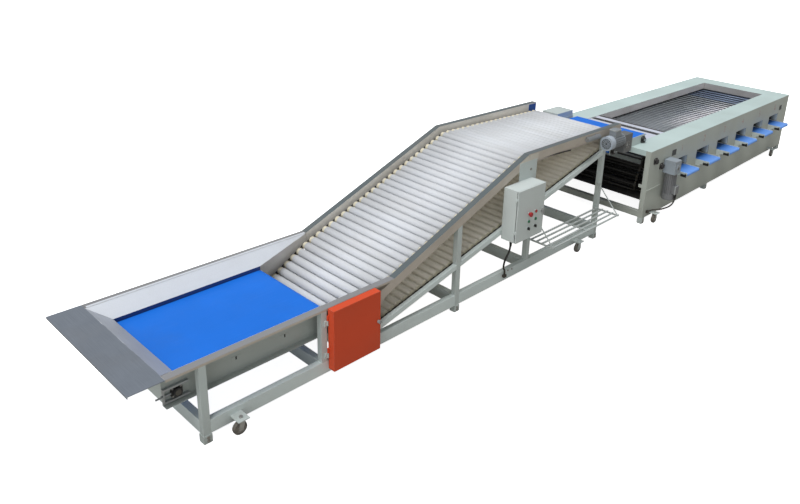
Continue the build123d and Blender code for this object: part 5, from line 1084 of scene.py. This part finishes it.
def spun(name, profile, axis_spot):
    """Closed ring spun from (radius, offset) points round an axle along Y; the tyre's faces take slot 1."""
    mesh = bpy.data.meshes.new(name)
    work = bmesh.new()
    rings = []
    for k in range(WHEEL_STEPS):
        angle = 2 * math.pi * k / WHEEL_STEPS
        out, up = math.cos(angle), math.sin(angle)
        spots = [Vector((radius * out, offset, radius * up)) for radius, offset in profile]
        rings.append([work.verts.new(spot + axis_spot) for spot in spots])
    count = len(profile)
    for k, ring in enumerate(rings):
        after = rings[(k + 1) % WHEEL_STEPS]
        for j in range(count):
            face = work.faces.new((ring[j], ring[(j + 1) % count], after[(j + 1) % count], after[j]))
            face.material_index = 1 if j in TYRE_FACES else 0
            face.smooth = True
    bmesh.ops.recalc_face_normals(work, faces=work.faces[:])
    work.to_mesh(mesh)
    work.free()
    return mesh


def wheel_profile(radius, half_width, hub_half, bore):
    """Tyre, rim and hub outline as (radius, offset) points, once round."""
    side = [(bore, hub_half), (0.30 * radius, hub_half), (0.32 * radius, 0.55 * half_width),
            (0.64 * radius, 0.55 * half_width), (0.67 * radius, half_width), (0.70 * radius, half_width),
            (0.90 * radius, 0.98 * half_width), (0.97 * radius, 0.80 * half_width),
            (radius, 0.45 * half_width)]
    return side + [(r, -offset) for r, offset in reversed(side)]


for name in sorted(nodes):
    if name.startswith("wheel_"):
        low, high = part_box(name)
        profile = wheel_profile((high.z - low.z) / 2, TYRE_HALF, (high.y - low.y) / 2, AXLE_BORE)
        mesh = spun(name + "_tyred", profile, (low + high) / 2)
        mesh.materials.append(hub_plastic)
        mesh.materials.append(finishes["wheel_rubber"])
        wheel = placed(name + "_tyred", mesh)
        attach(wheel, name)
        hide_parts(name)
print("eight tyred wheels")

# %% [markdown]
# Each motor's fan cover ends in a round air grille: rings and short spokes over a dark disc. The rings and
# spokes repeat, so a tree makes them from a ring count and a spoke count, and one grille is set on each
# motor's end.

# %% Fan grilles
UNWORN = {"low_dust": 0.0, "wear": 0}
SPOKE_LONG, SPOKE_MIDDLE = 0.78, 0.61
GRILLE_STEPS = 32
WIRE_SIDES = 6
DISC_THICK = 0.0012
GRILLE_OFF = 0.0005
ELEVATOR_MOTOR_IN, ELEVATOR_MOTOR_UP, GRADER_MOTOR_IN = 0.063, 0.061, 0.083
grille_dark = painted("grille_shadow", (0.085, 0.095, 0.105), 0.6, patches=0.2, **UNWORN)
tree, given, out = geometry_tree(
    "fan_grille", {"Outer radius": 0.056, "Wire": 0.0022, "Rings": 4, "Spokes": 12})
circles = ({"Resolution": WIRE_SIDES, "Radius": given["Wire"]}, {"Resolution": GRILLE_STEPS, "Radius": 1.0})
wire, loop = [add(tree, "GeometryNodeCurvePrimitiveCircle", circle).outputs["Curve"] for circle in circles]
points, index = counted(tree, given["Rings"])
share = maths(tree, "DIVIDE", maths(tree, "ADD", index, 1.0), given["Rings"])
loops = real(tree, on_points(tree, points, loop, Scale=times(tree, share, given["Outer radius"])))
rings = add(tree, "GeometryNodeCurveToMesh", {"Curve": loops, "Profile Curve": wire}).outputs["Mesh"]
spoke = bar(tree, WIRE_SIDES, given["Wire"], times(tree, given["Outer radius"], SPOKE_LONG))
spoke = moved(tree, spoke, vector(tree, X=times(tree, given["Outer radius"], SPOKE_MIDDLE)), LAID_ALONG)
points, index = counted(tree, given["Spokes"])
spoke_turn = maths(tree, "DIVIDE", times(tree, index, 2 * math.pi), given["Spokes"])
spokes = on_points(tree, points, spoke, Rotation=vector(tree, Z=spoke_turn))
disc = bar(tree, GRILLE_STEPS, given["Outer radius"], DISC_THICK)
bars = coloured(tree, joined(tree, [rings, spokes]), finishes["gearmotor_paint"])
whole = joined(tree, [bars, coloured(tree, disc, grille_dark)])
ended(tree, out, on_points(tree, dots(tree, given), whole, Rotation=facing_turn(tree)))
elevator_motor, grader_motor = islands("drive_motors")
gear_faces = [box[0].y for box in gear_boxes]
elevator_axis = Vector((elevator_motor[0].x - GRILLE_OFF, gear_faces[0] + ELEVATOR_MOTOR_IN,
                        joint_spot["elevator_drive"].z + ELEVATOR_MOTOR_UP))
grader_axis = Vector((joint_spot["grader_drive"].x, gear_faces[1] + GRADER_MOTOR_IN,
                      grader_motor[0].z - GRILLE_OFF))
grown("fan_grilles", [elevator_axis, grader_axis], tree,
      fields={"facing": [(-1.0, 0.0, 0.0), (0.0, 0.0, -1.0)]})

# %% [markdown]
# Thin plates and strips finish the machine. Each is a slab with broken edges, because a cut sheet has no
# razor edge; one function makes all slabs of a piece from their centres, sizes and turns. On the hopper,
# dark blue rubber skirts close the gap beside the belt, and their dark tone also stands for the shadow along
# the belt's edge; cover strips lie over the linings' seams.

# %% Hopper skirts and seams
SEAM_SIZE = (0.006, 0.001)
SEAM_OFF = 0.0012
SKIRT_THICK = 0.004
SKIRT_OFF = 0.001


def at(x):
    """A length along the drawing as a place in the frame."""
    return x - CAD_ORIGIN.x


def rising(slope):
    """Turn that lifts a slab's +X end by a slope."""
    return Matrix.Rotation(-slope, 3, "Y")


STRAIGHT = rising(0.0)


def slabs(name, places, material, edge=0.0012):
    """Slabs with broken edges as one piece; a place is a centre, a size and a turning matrix."""
    work = bmesh.new()
    for centre, size, turn in places:
        for vert in bmesh.ops.create_cube(work, size=1.0)["verts"]:
            vert.co = Vector(centre) + turn @ Vector([vert.co[k] * size[k] for k in range(3)])
    bmesh.ops.bevel(work, geom=work.edges[:], offset=edge, segments=1, affect="EDGES")
    bmesh.ops.recalc_face_normals(work, faces=work.faces[:])
    mesh = bpy.data.meshes.new(name)
    work.to_mesh(mesh)
    work.free()
    mesh.materials.append(material)
    piece = placed(name, mesh)
    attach(piece, "machine")
    print(name, len(places), "slabs")


def both_sides(x, off, z, size, turn=STRAIGHT):
    """The places of a near and a far slab, as far off the middle."""
    return [((x, CENTRE_Y + side * off, z), size, turn) for side in SIDES]


def span(ends):
    """Middle and length between two ends."""
    return (ends[0] + ends[1]) / 2, ends[1] - ends[0]


rail_low, rail_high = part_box("side_rails")
half_width = (rail_high.y - rail_low.y) / 2
lining_foot = Vector((at(1.534), 0.418, 0.512))
lining_top = Vector((at(1.470), 0.538, 0.598))
skirt_x, skirt_long = span((at(0.360), lining_foot.x))
skirt_z, skirt_tall = span((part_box("hopper_belt")[1].z + SKIRT_OFF, lining_foot.z))
skirts = both_sides(skirt_x, lining_foot.y + SKIRT_OFF, skirt_z, (skirt_long, SKIRT_THICK, skirt_tall))
seams = []
for side in SIDES:
    foot, top = (Vector((spot.x, CENTRE_Y + side * spot.y, spot.z)) for spot in (lining_foot, lining_top))
    rise = (top - foot).normalized()
    off_sheet = side * rise.cross(Vector((1, 0, 0))).normalized()
    turn = Matrix((off_sheet.cross(rise), off_sheet, rise)).transposed()
    size = (*SEAM_SIZE, (top - foot).length - SEAM_SIZE[0])
    seams.append(((foot + top) / 2 + SEAM_OFF * off_sheet, size, turn))
# Painted shade: the skirts' dark navy also stands for the shadow along the belt's edge.
skirt_shadow_rubber = painted("skirt_shadow_rubber", (0.016, 0.050, 0.17), 0.6, patches=0.1, **UNWORN)
seam_tone = painted("seam_strip", (0.33, 0.34, 0.36), 0.45, patches=0.2, **UNWORN)
slabs("belt_skirts", skirts, skirt_shadow_rubber)
slabs("lining_seams", seams, seam_tone, 0.0003)

# %% [markdown]
# Splice plates cover the rails' upper bend, and webs carry the rails on below the lower bend. Blue flaps
# guide the crop at the elevator's head, and each motor's terminal box has a lid. All could be boxes placed by
# hand; their places are worked out from the bends, the rails and the motors, which keeps them where they hold.

# %% Rail plates, flaps and lids
UPPER_BEND = Vector((at(3.730), 0.0, 1.265))
LOWER_BEND = Vector((at(2.075), 0.0, 0.600))
INCLINE = math.atan2(0.665, 1.655)
UPHILL = Vector((math.cos(INCLINE), 0, math.sin(INCLINE)))
BELOW = Vector((math.sin(INCLINE), 0, -math.cos(INCLINE)))
WEB_DROP = 0.042
SPLICE_SIZE, SPLICE_RUN, SPLICE_OFF = (0.13, 0.003, 0.064), 0.075, 0.0015
TAIL_SIZE, TAIL_RUN, TAIL_IN = (0.310, 0.003, 0.080), 0.155, 0.0025
FLAP_SIZE, FLAP_OFF, FLAP_BACK, FLAP_DROP = (0.135, 0.002, 0.09), 0.5385, 0.075, 0.055
ELEVATOR_LID, GRADER_LID = (0.106, 0.086, 0.014), (0.086, 0.014, 0.101)
LID_DROP, LID_RUN = 0.008, 0.155
GRADER_LID_Z = 0.3745
tail_spot = LOWER_BEND - TAIL_RUN * UPHILL + WEB_DROP * BELOW
tail_rails = both_sides(tail_spot.x, half_width - TAIL_IN, tail_spot.z, TAIL_SIZE, rising(INCLINE))
slabs("tail_rails", tail_rails, rail_finish)
splice_spot = UPPER_BEND - SPLICE_RUN * UPHILL + WEB_DROP * BELOW
splices = both_sides(splice_spot.x, half_width + SPLICE_OFF, splice_spot.z, SPLICE_SIZE, rising(INCLINE))
splices += both_sides(UPPER_BEND.x + SPLICE_RUN, half_width + SPLICE_OFF, UPPER_BEND.z - WEB_DROP,
                      SPLICE_SIZE)
splice_paint = painted("splice_paint", (0.60, 0.57, 0.50), 0.42, patches=0.2, low_dust=0.0)
slabs("rail_splices", splices, splice_paint)
flaps = both_sides(rail_high.x - FLAP_BACK, FLAP_OFF, rail_high.z - FLAP_DROP, FLAP_SIZE)
slabs("head_flaps", flaps, belt_cover("flap_blue", (0.05, 0.12, 0.38)), 0.0006)
elevator_lid = (elevator_motor[0].x + LID_RUN, elevator_axis.y, elevator_motor[1].z - LID_DROP)
grader_lid = (grader_axis.x, grader_motor[0].y + LID_DROP, GRADER_LID_Z)
lids = [(elevator_lid, ELEVATOR_LID, STRAIGHT), (grader_lid, GRADER_LID, STRAIGHT)]
lid_paint = painted("lid_paint", (0.36, 0.38, 0.38), 0.4, patches=0.2, low_dust=0.0)
slabs("terminal_lids", lids, lid_paint, 0.003)

# %% [markdown]
# Dirt pans lie under the carrying rollers and catch the soil that falls between them. A sheet covers the
# hopper's tail drum, a lip covers the far rim, black guide strips hold the chains down and stand for the
# shadowed gap under the rail's web, and the channels' slots have covers with plugs. The channels take a
# darker copy of the frame's paint, painted shade under the rim. All are flat cut sheets or strips, so slabs
# between two measured ends are enough.

# %% Pans, covers and strips
STEEP_SLOPE = math.radians(31)
TOP_FALL = math.atan2(0.030, 1.630)
PAN_THICK = 0.002
PAN_RUNS = [
    (((1.790, 0.2965), (2.030, 0.4407)), STEEP_SLOPE, 1.070),
    (((2.030, 0.4360), (2.230, 0.5164)), INCLINE, 1.070),
    (((2.230, 0.5164), (3.700, 1.1070)), INCLINE, 0.990),
    (((3.770, 1.1280), (5.150, 1.1026)), -TOP_FALL, 0.990),
]
TAIL_COVER_SIZE, TAIL_COVER_IN, TAIL_COVER_Z = (0.002, 0.988, 0.190), 0.006, 0.462
LIP_Y, LIP_Z, LIP_THICK = (0.538, 0.562), 0.6008, 0.0016
GUIDE_SHADOW_ENDS = (Vector((at(3.900), 0, 1.168)), Vector((at(4.500), 0, 1.133)))
GUIDE_SHADOW_OFF, GUIDE_SHADOW_SIZE = 0.5475, (0.005, 0.012)
SLOT_X, SLOT_OFF, SLOT_Z = (0.750, 1.130), 0.500, 0.461
FILLER_SIZE, PLUG_SIZE, PLUG_OUT = (0.070, 0.003, 0.030), (0.009, 0.003, 0.024), 0.0022
pans = []
for ((x0, z0), (x1, z1)), slope, wide_y in PAN_RUNS:
    spot = (at((x0 + x1) / 2), CENTRE_Y, (z0 + z1) / 2)
    pans.append((spot, (math.hypot(x1 - x0, z1 - z0), wide_y, PAN_THICK), rising(slope)))
pan_tone = painted("pan_sheet", (0.84, 0.81, 0.75), 0.6, patches=0.25, **UNWORN)
slabs("dirt_pans", pans, pan_tone, 0.0005)
tail_spot = (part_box("belt_channels")[0].x + TAIL_COVER_IN, CENTRE_Y, TAIL_COVER_Z)
tail_cover = [(tail_spot, TAIL_COVER_SIZE, STRAIGHT)]
slabs("tail_cover", tail_cover, finishes["grey_green_paint"], 0.0005)
lip_x, lip_long = span((at(0.240), at(2.070)))
lip_y, lip_wide = span(LIP_Y)
lip = [((lip_x, CENTRE_Y + lip_y, LIP_Z), (lip_long, lip_wide, LIP_THICK), STRAIGHT)]
slabs("lining_lip", lip, hopper_sheet, 0.0004)
# Painted shadow: the black strips also stand for the shadowed gap under the rail's web.
guide_shadow_mid, guide_shadow_run = span(GUIDE_SHADOW_ENDS)
guide_shadow_strips = both_sides(guide_shadow_mid.x, GUIDE_SHADOW_OFF, guide_shadow_mid.z, (guide_shadow_run.length, *GUIDE_SHADOW_SIZE),
                    rising(math.atan2(guide_shadow_run.z, guide_shadow_run.x)))
slabs("chain_guide_shadow_strips", guide_shadow_strips, finishes["black_plastic"])
fillers = []
plugs = []
for x in SLOT_X:
    fillers += both_sides(at(x), SLOT_OFF, SLOT_Z, FILLER_SIZE)
    plugs += both_sides(at(x), SLOT_OFF + PLUG_OUT, SLOT_Z, PLUG_SIZE)
# Painted shade: the channels take a darker copy of the frame's paint, for the shade under the rim.
channel_shade_paint = painted("channel_shade_paint", (0.42, 0.46, 0.44), 0.44, patches=0.14, low_dust=0.0)
slabs("slot_covers", fillers, channel_shade_paint, 0.0006)
slabs("slot_plugs", plugs, finishes["black_plastic"], 0.0006)

# %% [markdown]
# At the feed, dark rubber curtains close the gaps before and after the feed bar, and their dark strips also
# stand for the shadow in these gaps. A lip carries the feed belt's crop on. Gussets stiffen the lower bend.
# On the grader, cheeks line the windows, a tray under the grading rods is painted nearly black as painted
# shade for the grader's dark inside, and plates close the two hatches. The cheeks darken inwards from the
# panel, painted shade, so their paint takes a share that grows with the depth.

# %% Feed, window and hatch plates
THIN = 0.003
FLAT_SHEET = 0.02
CURTAIN_SHADOW_DROP, CURTAIN_SHADOW_RUN, CURTAIN_SHADOW_IN = 0.005, 0.050, 0.004
FEED_LIP_X = (-0.033, 0.092)
GUSSET_SIZE, GUSSET_OFF, GUSSET_RUN, GUSSET_Z = (0.110, 0.002, 0.090), 0.5455, 0.010, 0.540
CHEEK_OFF, CHEEK_DEEP, CHEEK_Z = 0.019, 0.145, (0.030, 0.150)
CHEEK_SHADE_DEPTHS = (0.01, 0.095)
TRAY_WIDE, TRAY_Z = 1.425, 0.2335
PANEL_SHEET = 0.0030
HATCH_SPOTS, HATCH_SIZE = ((6.414, 0.757), (9.986, 0.728)), (0.130, THIN, 0.095)
feed_tray, feed_bar = [box for box in islands("inner_walls") if box[1].z - box[0].z < FLAT_SHEET]
gaps = [((feed_tray[1].x, feed_bar[0].x), feed_bar[0].z - CURTAIN_SHADOW_DROP),
        ((feed_bar[1].x, feed_bar[1].x + CURTAIN_SHADOW_RUN), feed_bar[1].z)]
curtain_shadows = []
for ends, top in gaps:
    x, long = span(ends)
    wide_y = feed_bar[1].y - feed_bar[0].y - CURTAIN_SHADOW_IN
    curtain_shadows.append(((x, middle(feed_bar).y, top - THIN / 2), (long, wide_y, THIN), STRAIGHT))
# Painted shadow: the dark curtain strips also stand for the shadow in the gaps by the feed bar.
curtain_shadow_rubber = painted("curtain_shadow_rubber", (0.045, 0.043, 0.048), 0.6, patches=0.2, **UNWORN)
slabs("feed_curtain_shadows", curtain_shadows, curtain_shadow_rubber, 0.0006)
feed_low, feed_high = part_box("feed_belt")
lip_x, lip_long = span([feed_high.x + run for run in FEED_LIP_X])
lip_y, lip_wide = span((feed_low.y, feed_high.y))
feed_lip = [((lip_x, lip_y, feed_high.z - THIN / 2), (lip_long, lip_wide, THIN), STRAIGHT)]
slabs("feed_lip", feed_lip, finishes["blue_belt"], 0.0006)
gussets = both_sides(LOWER_BEND.x + GUSSET_RUN, GUSSET_OFF, GUSSET_Z, GUSSET_SIZE)
slabs("bend_gussets", gussets, rail_finish, 0.0004)
panel_face = max(islands("grader_panels"), key=lambda box: box[1].x - box[0].x)[0].y


def cheek_depth_shade(tree):
    """Share of painted shade on the windows' cheeks, growing inwards from the panel."""
    starts, ends = (panel_face + depth for depth in CHEEK_SHADE_DEPTHS)
    return spread(tree, own_spot(tree)["Y"], starts, ends, 0.0, 0.96)


cheek_z, cheek_tall = span(CHEEK_Z)
cheeks = []
for box in outlet_boxes:
    for x in (box[0].x - CHEEK_OFF, box[1].x + CHEEK_OFF):
        spot = (x, panel_face + CHEEK_DEEP / 2, nose.z + cheek_z)
        cheeks.append((spot, (THIN, CHEEK_DEEP, cheek_tall), STRAIGHT))
cheek_paint = painted("cheek_paint", (0.58, 0.66, 0.67), 0.5, patches=0.1, painted_shade=cheek_depth_shade, **UNWORN)
slabs("window_cheeks", cheeks, cheek_paint, 0.0006)
# Painted shade: the near-black tray stands in for the shade inside the grader.
tray_x, tray_long = span((at(5.955), at(10.150)))
tray_shade_paint = painted("dark_shade_tray", (0.022, 0.021, 0.019), 0.8, patches=0.2, **UNWORN)
slabs("dark_shade_tray", [((tray_x, CENTRE_Y, TRAY_Z), (tray_long, TRAY_WIDE, THIN), STRAIGHT)], tray_shade_paint,
      0.0005)
hatch_y = panel_face + PANEL_SHEET + THIN / 2
hatches = [((at(x), hatch_y, z), HATCH_SIZE, STRAIGHT) for x, z in HATCH_SPOTS]
slabs("hatch_plates", hatches, painted("hatch_paint", (0.05, 0.055, 0.055), 0.5, wear=0))

# %% [markdown]
# Every outlet's nose roller turns in two small black bearing blocks, and each cable leaves its gland through
# a ribbed, tapered sleeve that keeps the jacket from kinking. Both repeat, so each has its own small tree.

# %% Nose blocks
BLOCK_OFF = 0.0185
BLOCK_SHIFT = (0.0, 0.024, -0.010)
BOSS_RADIUS, BOSS_SHARE = 0.0125, 1.8
tree, given, out = geometry_tree("nose_block", {"Width": 0.010, "Depth": 0.074, "Height": 0.030})
shell_size = vector(tree, X=given["Width"], Y=given["Depth"], Z=given["Height"])
shell = moved(tree, add(tree, "GeometryNodeMeshCube", {"Size": shell_size}).outputs["Mesh"], BLOCK_SHIFT)
boss = moved(tree, bar(tree, 14, BOSS_RADIUS, times(tree, given["Width"], BOSS_SHARE)), turn=LAID_ALONG)
ended(tree, out, on_points(tree, dots(tree, given), joined(tree, [shell, boss])), finishes["black_plastic"])
nose_spots = []
for low, high in outlet_boxes:
    nose_spots += [(x, nose.y, nose.z) for x in (low.x - BLOCK_OFF, high.x + BLOCK_OFF)]
grown("nose_blocks", nose_spots, tree)

# %% Strain reliefs
RELIEF_SIDES = 20
RIB_OUT, RIB_THICK = 0.0008, 0.0028
RIB_TIP = 0.76
tree, given, out = geometry_tree(
    "strain_relief", {"Length": 0.045, "Root radius": 0.0135, "Tip radius": 0.0100, "Ribs": 6})
cone_names = {"Vertices": RELIEF_SIDES, "Radius Bottom": given["Root radius"],
              "Radius Top": given["Tip radius"], "Depth": given["Length"]}
cone = add(tree, "GeometryNodeMeshCone", cone_names).outputs["Mesh"]
points, index = counted(tree, given["Ribs"])
share = maths(tree, "DIVIDE", maths(tree, "ADD", index, 0.5), given["Ribs"])
rib_spot = vector(tree, Z=times(tree, share, given["Length"]))
rib_row = add(tree, "GeometryNodeSetPosition", {"Geometry": points, "Position": rib_spot}).outputs["Geometry"]
rib = bar(tree, RELIEF_SIDES, maths(tree, "ADD", given["Root radius"], RIB_OUT), RIB_THICK)
ribs = on_points(tree, rib_row, rib, Scale=spread(tree, share, 0.0, 1.0, 1.0, RIB_TIP))
hanging = moved(tree, joined(tree, [cone, ribs]), turn=(math.pi, 0, 0))
ended(tree, out, on_points(tree, dots(tree, given), hanging), finishes["black_plastic"])
grown("strain_reliefs", cable_exits, tree)

# %% [markdown]
# Faint red numbers 1 to 6 mark the size of potato at each outlet. They are plain digits, sprayed through a
# stencil, so the paint is thin and patchy. Each is made a flat mesh first, and then set on the panel.

# %% Outlet numbers
STENCIL_TONES = ((0.40, 0.22, 0.20), (0.43, 0.39, 0.36))
DIGIT_HEIGHT, DIGIT_SHARE = 0.085, 0.7
DIGIT_LIFT = 0.735
DIGIT_HALF, DIGIT_OUT = 0.0004, 0.0003
stencil_red, tree, shader = started("stencil_red", 0.55)
coat = placed_group(tree, skin_group, Drift_size=40.0)
feed(tree, shader, Base_Color=blend_colour(tree, spread(tree, coat["Tone"], 0.2, 0.8), *STENCIL_TONES))
for k, box in enumerate(outlet_boxes):
    words = bpy.data.curves.new(f"digit_{k + 1}", "FONT")
    words.body = str(k + 1)
    words.size = DIGIT_HEIGHT / DIGIT_SHARE
    words.extrude = DIGIT_HALF
    words.align_x = "CENTER"
    probe = placed(f"digit_probe_{k + 1}", words)
    mesh = evaluated_mesh(probe)
    bpy.data.objects.remove(probe)
    place = Matrix.Translation((middle(box).x, panel_face - DIGIT_OUT, DIGIT_LIFT))
    mesh.transform(place @ Matrix.Rotation(math.pi / 2, 4, "X"))
    mesh.materials.clear()
    mesh.materials.append(stencil_red)
    digit = placed(f"outlet_digit_{k + 1}", mesh)
    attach(digit, "machine")
print("six stencilled digits")

# %% [markdown]
# The grader's outside is painted, and its inside is darkened nearly to black, painted shade for its dark
# cavity. Both are one sheet, so the place in the machine tells them apart: all that lies behind the front
# posts' faces, between the side panels' skins, below the top cover and above the base rails is inside. Its
# feed tray and inner walls are bare sheet, whose end walls take a darker tone as painted shade.

# %% Grader inside and outside
cover_low, cover_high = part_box("top_cover")
SKIN = 0.0015
BASE_RAIL_TOP = 0.150
WALL_TONE, END_WALL_SHADE_TONE, TRAY_TONE = (0.86, 0.83, 0.82), (0.44, 0.43, 0.43), (0.66, 0.69, 0.79)


def grader_inside_shade(tree):
    """Share of painted shade on faces inside the grader's outer skin."""
    spot = own_spot(tree)
    centre, wide_y = span((cover_low.y, cover_high.y))
    off_centre = maths(tree, "ABSOLUTE", maths(tree, "SUBTRACT", spot["Y"], centre))
    behind = maths(tree, "GREATER_THAN", spot["X"], cover_low.x + SKIN)
    between = maths(tree, "LESS_THAN", off_centre, wide_y / 2 - SKIN)
    below = maths(tree, "LESS_THAN", spot["Z"], cover_high.z - SKIN)
    above = maths(tree, "GREATER_THAN", spot["Z"], BASE_RAIL_TOP)
    return times(tree, times(tree, behind, between), times(tree, below, above))


grader_paint = painted("grader_paint", (0.445, 0.475, 0.43), 0.44, patches=0.14, low_dust=0.15,
                       painted_shade=grader_inside_shade)
cover_paint = painted("cover_paint", (0.525, 0.64, 0.625), 0.44, patches=0.12, low_dust=0.0,
                      painted_shade=grader_inside_shade)
# Painted light: the base beams take a lighter copy of the frame's paint, for light the low beams lack.
beam_lit_paint = painted("beam_lit_paint", (0.68, 0.755, 0.745), 0.42, patches=0.12, low_dust=0.05)
inner_sheet, tree, shader = started("inner_sheet", 0.5, 0.2)
grain = placed_group(tree, grain_group, Stretch=ALONG_X)
way = face_way(tree)
# Painted shade: faces turned along X, the end walls, take a darker tone of the same sheet.
end_wall_shade_share = spread(tree, maths(tree, "ABSOLUTE", way["X"]), 0.5, 0.7)
wall_tone = blend_colour(tree, end_wall_shade_share, varied(tree, grain["Shade"], WALL_TONE, 0.08), END_WALL_SHADE_TONE)
tray_tone = varied(tree, grain["Shade"], TRAY_TONE, 0.08)
sheet_tone_with_painted_light = blend_colour(tree, spread(tree, way["Z"], 0.5, 0.7), wall_tone, tray_tone)
finished(tree, shader, sheet_tone_with_painted_light, dust_mask(tree, 0.3), grain["Height"])
print("grader paints and inner sheet")

# %% [markdown]
# The two drives differ: the elevator's motor has a pale fan cover on a grey body and a dark gearbox, and the
# grader's motor is dark with a pale gearbox. Each pair is one CAD node, so the place along the machine picks
# the tone.

# %% Drive paints
FAN_COVER = 0.072
FAN_TONE, BODY_TONE, GRADER_MOTOR_TONE = (0.40, 0.46, 0.53), (0.22, 0.245, 0.27), (0.15, 0.155, 0.165)
MOTOR_DRIFT = (0.5, 0.5, 0.5)
ELEVATOR_GEAR_TONE = (0.13, 0.136, 0.142)
motor_paint, tree, shader = started("motor_paint", 0.45)
coat = placed_group(tree, skin_group)
along = own_spot(tree)["X"]
fan_end = elevator_motor[0].x + FAN_COVER
body_share = spread(tree, along, fan_end - SOFT_EDGE, fan_end + SOFT_EDGE)
motor_tone = blend_colour(tree, body_share, FAN_TONE, BODY_TONE)
on_grader = maths(tree, "GREATER_THAN", along, cover_low.x)
motor_tone = blend_colour(tree, on_grader, motor_tone, GRADER_MOTOR_TONE)
motor_tone = blend_colour(tree, spread(tree, coat["Tone"], 0.0, 1.0, 0.0, 0.12), motor_tone, MOTOR_DRIFT)
finished(tree, shader, motor_tone, dust_mask(tree, 0.3, 0.2), coat["Height"], relief=PAINT_RELIEF)


def gear_zones(tree, tone):
    """The elevator's gearbox is darker than the grader's."""
    on_elevator = maths(tree, "LESS_THAN", own_spot(tree)["X"], cover_low.x)
    return blend_colour(tree, on_elevator, tone, ELEVATOR_GEAR_TONE)


gear_paint = painted("gear_paint", zones=gear_zones, **GEAR_GREY)
handle_grey = painted("handle_grey", (0.30, 0.31, 0.31), 0.4, patches=0.1, **UNWORN)
print("motor, gearbox and handle paints")

# %% [markdown]
# Last, every CAD solid that shows gets its finish. The record's slots say which finish a node takes, and a
# few nodes that share a slot differ by eye, such as the inner walls, the outlet belts and the wire shelf.

# %% Finishes on the solids
slot_of = {piece["node"]: piece["material_slot"] for piece in frame["record"]["subparts"]}
finishes["stainless"] = hopper_sheet
finishes["rail_paint"] = rail_finish
finishes["roller_sleeve"] = sleeve
own_finish = {"inner_walls": inner_sheet, "outlet_belts": outlet_cover, "tool_shelf": shelf_steel,
              "grader_panels": grader_paint, "grader_frame": grader_paint, "top_cover": cover_paint,
              "belt_channels": channel_shade_paint, "frame_beams": beam_lit_paint, "guard_latch": handle_grey,
              "hopper_tail_drum": oiled_steel, "drive_motors": motor_paint, "worm_gearboxes": gear_paint,
              "grader_drive_shaft": oiled_steel, "outlet_drive_shaft": oiled_steel,
              "door_handle": handle_grey}
for name, obj in nodes.items():
    obj.data.materials.clear()
    obj.data.materials.append(own_finish.get(name, finishes[slot_of[name]]))
for cable in cables:
    cable.data.materials.append(finishes["cable_black"])
print(len(nodes), "solids finished")
